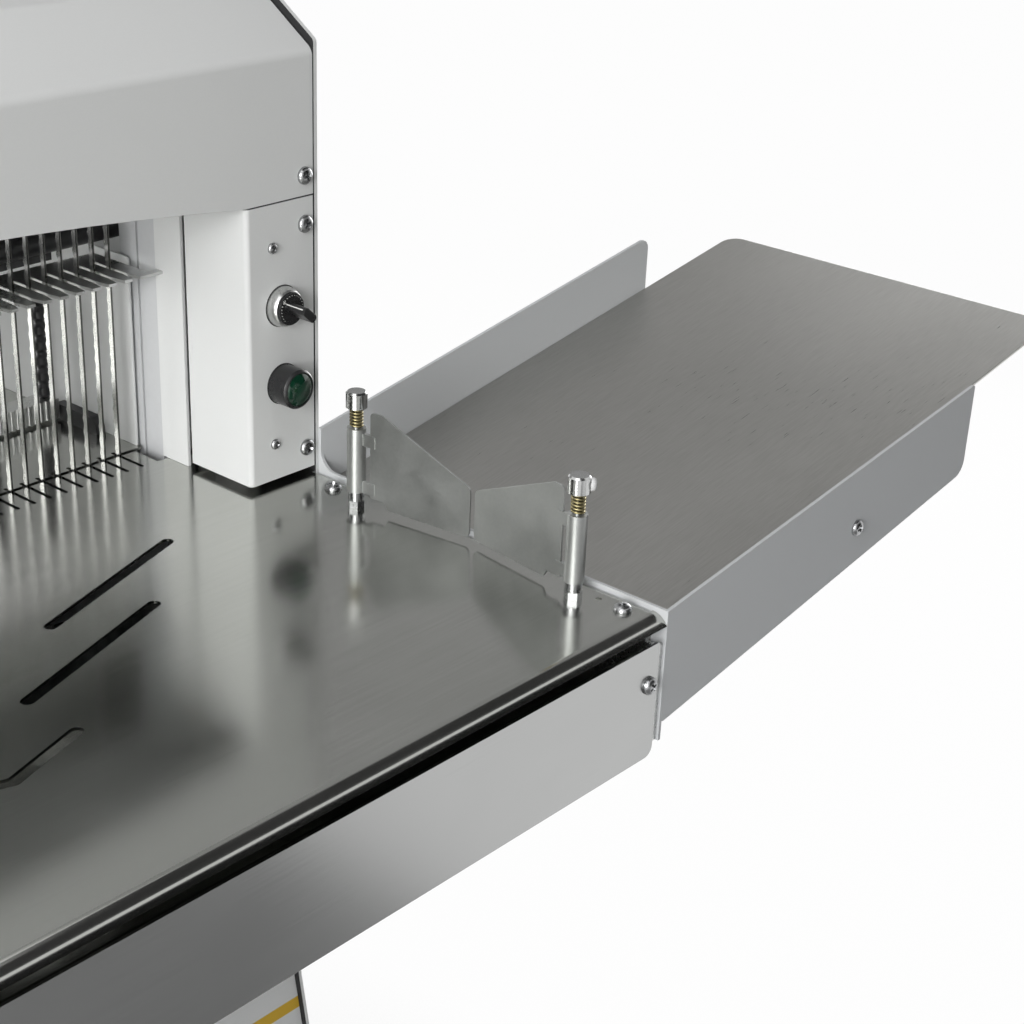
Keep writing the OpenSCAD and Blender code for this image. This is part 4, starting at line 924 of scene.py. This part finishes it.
@dataclass
class BezelGaskets(SubAssembly):
    """Thin black rings under the two control bezels."""

    centres: tuple[tuple[float, float], ...] = ((BEZEL_X, KNOB_Z), (BEZEL_X, BUTTON_Z))
    outer_d: float = 28.7
    thick: float = 0.5

    def build(self) -> list[bpy.types.Object]:
        """Turns both rings as one piece.

        Returns:
            The rings, which stay on the column.
        """
        work = bmesh.new()
        lie = Matrix.Rotation(math.pi / 2, 4, "X")
        for x, z in self.centres:
            place = Matrix.Translation(FRAME.at(x, -self.thick / 2 - 0.02, z)) @ lie
            made = bmesh.ops.create_cone(work, cap_ends=True, segments=64, radius1=self.outer_d / 2 * MM,
                                         radius2=self.outer_d / 2 * MM, depth=self.thick * MM, matrix=place)
            rims = {e for v in made["verts"] for e in v.link_edges if e.calc_face_angle(0.0) > math.radians(60.0)}
            bmesh.ops.bevel(work, geom=list(rims), offset=0.1 * MM, segments=1, affect="EDGES", profile=0.5)
        mesh = bpy.data.meshes.new("bezel_gaskets")
        work.to_mesh(mesh)
        work.free()
        smooth_by_angle(mesh, CREASE_DEG)
        mesh.materials.append(Coat.RUBBER.value.material())
        piece = new_object("bezel_gaskets", mesh)
        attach(piece, "machine")
        return [piece]


@dataclass(frozen=True)
class ReflectorCard:
    """A card that reflections alone see, so that flat steel keeps the depth it has in a room."""

    name: str
    place: Triple
    aim: Triple
    size: tuple[float, float]
    dark: float
    light: float

    def set_up(self) -> bpy.types.Object:
        """Hangs the card, hidden from the camera and from diffuse light.

        Returns:
            The staged card.
        """
        made = flat_sheet(self.name, *self.size)
        made.location = self.place
        made.rotation_euler = (Vector(self.aim) - Vector(self.place)).to_track_quat("Z", "Y").to_euler()
        for ray in ("camera", "diffuse", "shadow", "transmission", "volume_scatter"):
            setattr(made, f"visible_{ray}", False)
        material = bpy.data.materials.new(f"{self.name}_tone")
        material.use_nodes = True
        material.node_tree.nodes.clear()
        graph = Graph(material.node_tree)
        coords = graph.node("ShaderNodeTexCoord").outputs["Object"]
        tone = graph.mix(graph.noise(coords, 1.2), (self.dark,) * 3, (self.light,) * 3)
        glow = graph.node("ShaderNodeEmission", {"Color": tone, "Strength": 1.0})
        graph.node("ShaderNodeOutputMaterial", {"Surface": glow.outputs["Emission"]})
        made.data.materials.append(material)
        return made


@dataclass(frozen=True)
class SoftLamp:
    """A square soft lamp."""

    name: str
    place: Triple
    aim: Triple
    size: float
    power: float

    def set_up(self) -> None:
        """Hangs the lamp and turns it to its aim."""
        data = bpy.data.lights.new(self.name, "AREA")
        data.shape = "SQUARE"
        data.size = self.size
        data.energy = self.power
        made = bpy.data.objects.new(self.name, data)
        bpy.context.scene.collection.objects.link(made)
        made.location = self.place
        made.rotation_euler = (Vector(self.aim) - Vector(self.place)).to_track_quat("-Z", "Y").to_euler()


@dataclass
class Studio:
    """Pale floor, white background, reflector cards and soft lamps."""

    ambient: float = 0.10
    floor_size: float = 60.0
    floor_tones: tuple[float, float] = (0.50, 0.54)
    glow_share: float = 0.98
    painted_shadow_tone: float = 0.45
    painted_shadow_reach: float = 0.5
    cards: tuple[ReflectorCard, ...] = (
        ReflectorCard("rear_card", (1.9, 1.55, 2.65), (0.35, -0.1, 0.93), (2.5, 2.3), 0.26, 0.46),
        ReflectorCard("roof_card", (1.4, -0.825, 2.9), (1.4, -0.825, 0.0), (3.8, 1.55), 0.03, 0.06),
        ReflectorCard("side_roof_card", (1.95, 0.25, 2.9), (1.95, 0.25, 0.0), (2.7, 0.6), 0.03, 0.06),
        ReflectorCard("front_card", (1.5, -2.45, 1.525), (1.5, 0.10, 1.025), (3.6, 2.6), 0.01, 0.02),
        ReflectorCard("floor_card", (-0.2, -1.5, 0.004), (-0.2, -1.5, 1.0), (1.9, 2.0), 0.22, 0.34))
    lamps: tuple[SoftLamp, ...] = (
        SoftLamp("top_softbox", (-0.5, -0.5, 3.2), (-0.1, 0.0, 1.0), 2.0, 16.0),
        SoftLamp("left_softbox", (-2.7, -1.35, 1.85), (0.0, 0.0, 1.0), 1.6, 78.0),
        SoftLamp("right_softbox", (3.0, 0.6, 1.2), (0.3, 0.1, 0.8), 1.6, 42.0),
        SoftLamp("rear_softbox", (-1.1, 2.95, 1.5), (0.0, 0.2, 0.85), 1.6, 38.0))

    def background(self) -> None:
        """A white background for what the camera, metal and glass see, and a low even light for the rest."""
        world = bpy.data.worlds.new("studio")
        bpy.context.scene.world = world
        world.use_nodes = True
        world.node_tree.nodes.clear()
        graph = Graph(world.node_tree)
        strength = graph.ramp(self.seen(graph), 0.0, 1.0, (self.ambient, 1.0))
        back = graph.node("ShaderNodeBackground", {"Color": (1.0, 1.0, 1.0, 1.0), "Strength": strength})
        graph.node("ShaderNodeOutputWorld", {"Surface": back.outputs["Background"]})

    def seen(self, graph: Graph) -> bpy.types.NodeSocket:
        """One where a ray comes from the camera, a reflection or glass.

        Args:
            graph: graph of the world or of the floor's material.

        Returns:
            A factor output.
        """
        path = graph.node("ShaderNodeLightPath")
        first = graph.math("MAXIMUM", path.outputs["Is Camera Ray"], path.outputs["Is Glossy Ray"])
        return graph.math("MAXIMUM", first, path.outputs["Is Transmission Ray"])

    def floor(self) -> bpy.types.Object:
        """A plain pale floor with a soft shadow: a faint one cast by the lamps, and painted shadow darkening its glow
        near the object.

        Returns:
            The floor.
        """
        made = flat_sheet("floor", self.floor_size, self.floor_size)
        material = bpy.data.materials.new("pale_floor")
        material.use_nodes = True
        material.node_tree.nodes.clear()
        graph = Graph(material.node_tree)
        coords = graph.node("ShaderNodeTexCoord").outputs["Object"]
        tone = graph.mix(graph.noise(coords, 1.5), *((v, v, v) for v in self.floor_tones))
        matt = graph.node("ShaderNodeBsdfDiffuse", {"Color": tone})
        # Painted shadow: the floor's glow darkens by ambient occlusion near the object.
        close = graph.node("ShaderNodeAmbientOcclusion", {"Distance": self.painted_shadow_reach}, samples=4)
        white = graph.mix(close.outputs["AO"], (self.painted_shadow_tone,) * 3, (1.0, 1.0, 1.0))
        glow = graph.node("ShaderNodeEmission", {"Color": white, "Strength": 1.0})
        share = graph.ramp(self.seen(graph), 0.0, 1.0, (0.0, self.glow_share))
        mixed = graph.node("ShaderNodeMixShader", {0: share, 1: matt.outputs[0], 2: glow.outputs[0]})
        graph.node("ShaderNodeOutputMaterial", {"Surface": mixed.outputs[0]})
        made.data.materials.append(material)
        return made

    def set_up(self) -> None:
        """Makes the background, the floor, the cards and the lamps."""
        self.background()
        self.floor()
        for card in self.cards:
            card.set_up()
        for lamp in self.lamps:
            lamp.set_up()


@dataclass
class PhotoCamera:
    """The photograph's camera: its place, its axes, its focal length and its principal point."""

    place: Triple = (-483.5, -918.2, 1467.8)
    right: Triple = (0.64780703, -0.76043865, 0.04559727)
    down: Triple = (-0.31066564, -0.31835476, -0.89562107)
    ahead: Triple = (0.69558098, 0.56602412, -0.44247462)
    focal_px: float = 1942.27
    centre_px: tuple[float, float] = (541.0, 573.2)
    image_px: float = 1024.0

    def set_up(self) -> bpy.types.Object:
        """Makes the camera and gives it to the scene.

        Returns:
            The camera object.
        """
        data = bpy.data.cameras.new("photo_camera")
        data.sensor_width = 36.0
        data.lens = self.focal_px / self.image_px * data.sensor_width
        data.shift_x = -(self.centre_px[0] - self.image_px / 2) / self.image_px
        data.shift_y = (self.centre_px[1] - self.image_px / 2) / self.image_px
        data.clip_start = 0.05
        data.clip_end = 60.0
        made = bpy.data.objects.new("photo_camera", data)
        bpy.context.scene.collection.objects.link(made)
        axes = Matrix((self.right, [-v for v in self.down], [-v for v in self.ahead])).transposed()
        made.matrix_world = Matrix.Translation(FRAME.at(*self.place)) @ axes.to_4x4()
        bpy.context.scene.camera = made
        return made


def sub_assemblies() -> list[SubAssembly]:
    """The machine's sub-assemblies, in the order they are built."""
    top = FRAME.table_top
    panel = [FRAME.at(side * 379.0, 0.0, top + h) for side in (1, -1) for h in (20.6, 180.0, 212.3)]
    apron = [FRAME.at(side * 374.0, APRON_FACE_Y, top - 43.0) for side in (1, -1)]
    deck = [FRAME.at(side * 375.0, y, top) for side in (1, -1) for y in (-286.0, -31.0)]
    small = [FRAME.at(side * 350.0, 0.0, top + h) for side in (1, -1) for h in (31.0, 169.0)]
    tray = [FRAME.at(606.3, APRON_FACE_Y, top - 10.6)]
    clamps = {Facing.RIGHT_REAR: FRAME.at(370.71, -56.1, top + 77.4),
              Facing.RIGHT_FRONT: FRAME.at(370.71, -258.9, top + 77.4)}
    large = PanHead("large_screw", 12.0, 4.0, 5.0, 7.0)
    little = PanHead("little_screw", 7.5, 2.6, 3.0, 5.0)
    grub = PanHead("clamp_screw", 8.5, 3.5, 3.0, 3.9)
    return [
        SheetGroup({"hood": Coat.HOOD, "left_column": Coat.COLUMN, "right_column": Coat.COLUMN,
                    "left_side_plate": Coat.SIDE, "right_side_plate": Coat.SIDE,
                    "guide_strips": Coat.HOUSING, "infeed_walls": Coat.HOUSING,
                    "base_front_panel": Coat.BASE, "base_rear_panel": Coat.HOUSING}),
        SheetGroup({"outfeed_table": Coat.TABLE, "apron": Coat.APRON, "crumb_drawer": Coat.TABLE,
                    "bag_plate": Coat.PLATE, "bag_tray": Coat.TRAY, "rear_flap": Coat.FLAP,
                    "front_flap": Coat.FLAP}, edge=0.0004),
        SheetGroup({"speed_knob": Coat.GLOSS, "knob_bezel": Coat.SATIN, "start_bezel": Coat.GLOSS,
                    "start_button": Coat.LENS}, edge=0.0003),
        SolidGroup({"upper_comb": Coat.SATIN, "infeed_bed": Coat.TABLE, "crumb_chute": Coat.TABLE,
                    "front_blades": Coat.BLADE, "rear_blades": Coat.BLADE, "upper_tie_bar": Coat.BLACK,
                    "front_blade_frame": Coat.PALE, "rear_blade_frame": Coat.PALE,
                    "front_bushes": Coat.BRONZE, "rear_bushes": Coat.BRONZE, "guide_rods": Coat.BRIGHT,
                    "rod_brackets": Coat.CASTING}),
        SolidGroup({"pusher_bar": Coat.SATIN, "pusher_tines": Coat.BLACK, "pusher_carriage": Coat.ENAMEL,
                    "pusher_rails": Coat.BRIGHT, "feed_screw": Coat.BRIGHT, "feed_motor": Coat.MOTOR,
                    "bed_side_guides": Coat.BLACK}),
        SolidGroup({"crankshaft": Coat.BRIGHT, "crank_pulley": Coat.CASTING, "front_con_rods": Coat.CASTING,
                    "rear_con_rods": Coat.CASTING, "crank_bearings": Coat.CASTING, "motor": Coat.MOTOR,
                    "motor_pulley": Coat.CASTING, "drive_belt": Coat.RUBBER}),
        SolidGroup({"table_brackets": Coat.SATIN, "base_floor": Coat.ENAMEL, "cross_tubes": Coat.ENAMEL,
                    "levelling_feet": Coat.RUBBER, "drawer_runners": Coat.SATIN, "control_blocks": Coat.BLACK}),
        SolidGroup({"flap_posts": Coat.CHROME, "post_nuts": Coat.ZINC, "post_collars": Coat.CHROME}),
        FlapSpring("rear_spring", (366.5, -62.0)),
        FlapSpring("front_spring", (366.5, -253.0)),
        ScrewSet("cover_screws", [
            ScrewRow(large, Facing.FRONT, panel + apron + tray),
            ScrewRow(large, Facing.TOP, deck)]),
        ScrewSet("small_screws", [ScrewRow(little, Facing.FRONT, small)]
                 + [ScrewRow(grub, facing, [place]) for facing, place in clamps.items()]),
        DialMarks(),
        BezelGaskets(),
    ]


def main() -> None:
    """Builds and dresses the sub-assemblies, then sets the studio and the camera."""
    logging.basicConfig(level=logging.INFO, format="%(message)s")
    bpy.context.scene.view_settings.view_transform = "Standard"
    PhotoCamera().set_up()
    for group in sub_assemblies():
        group.report(group.build())
        group.dress()
    Studio().set_up()


if __name__ == "__main__":
    main()
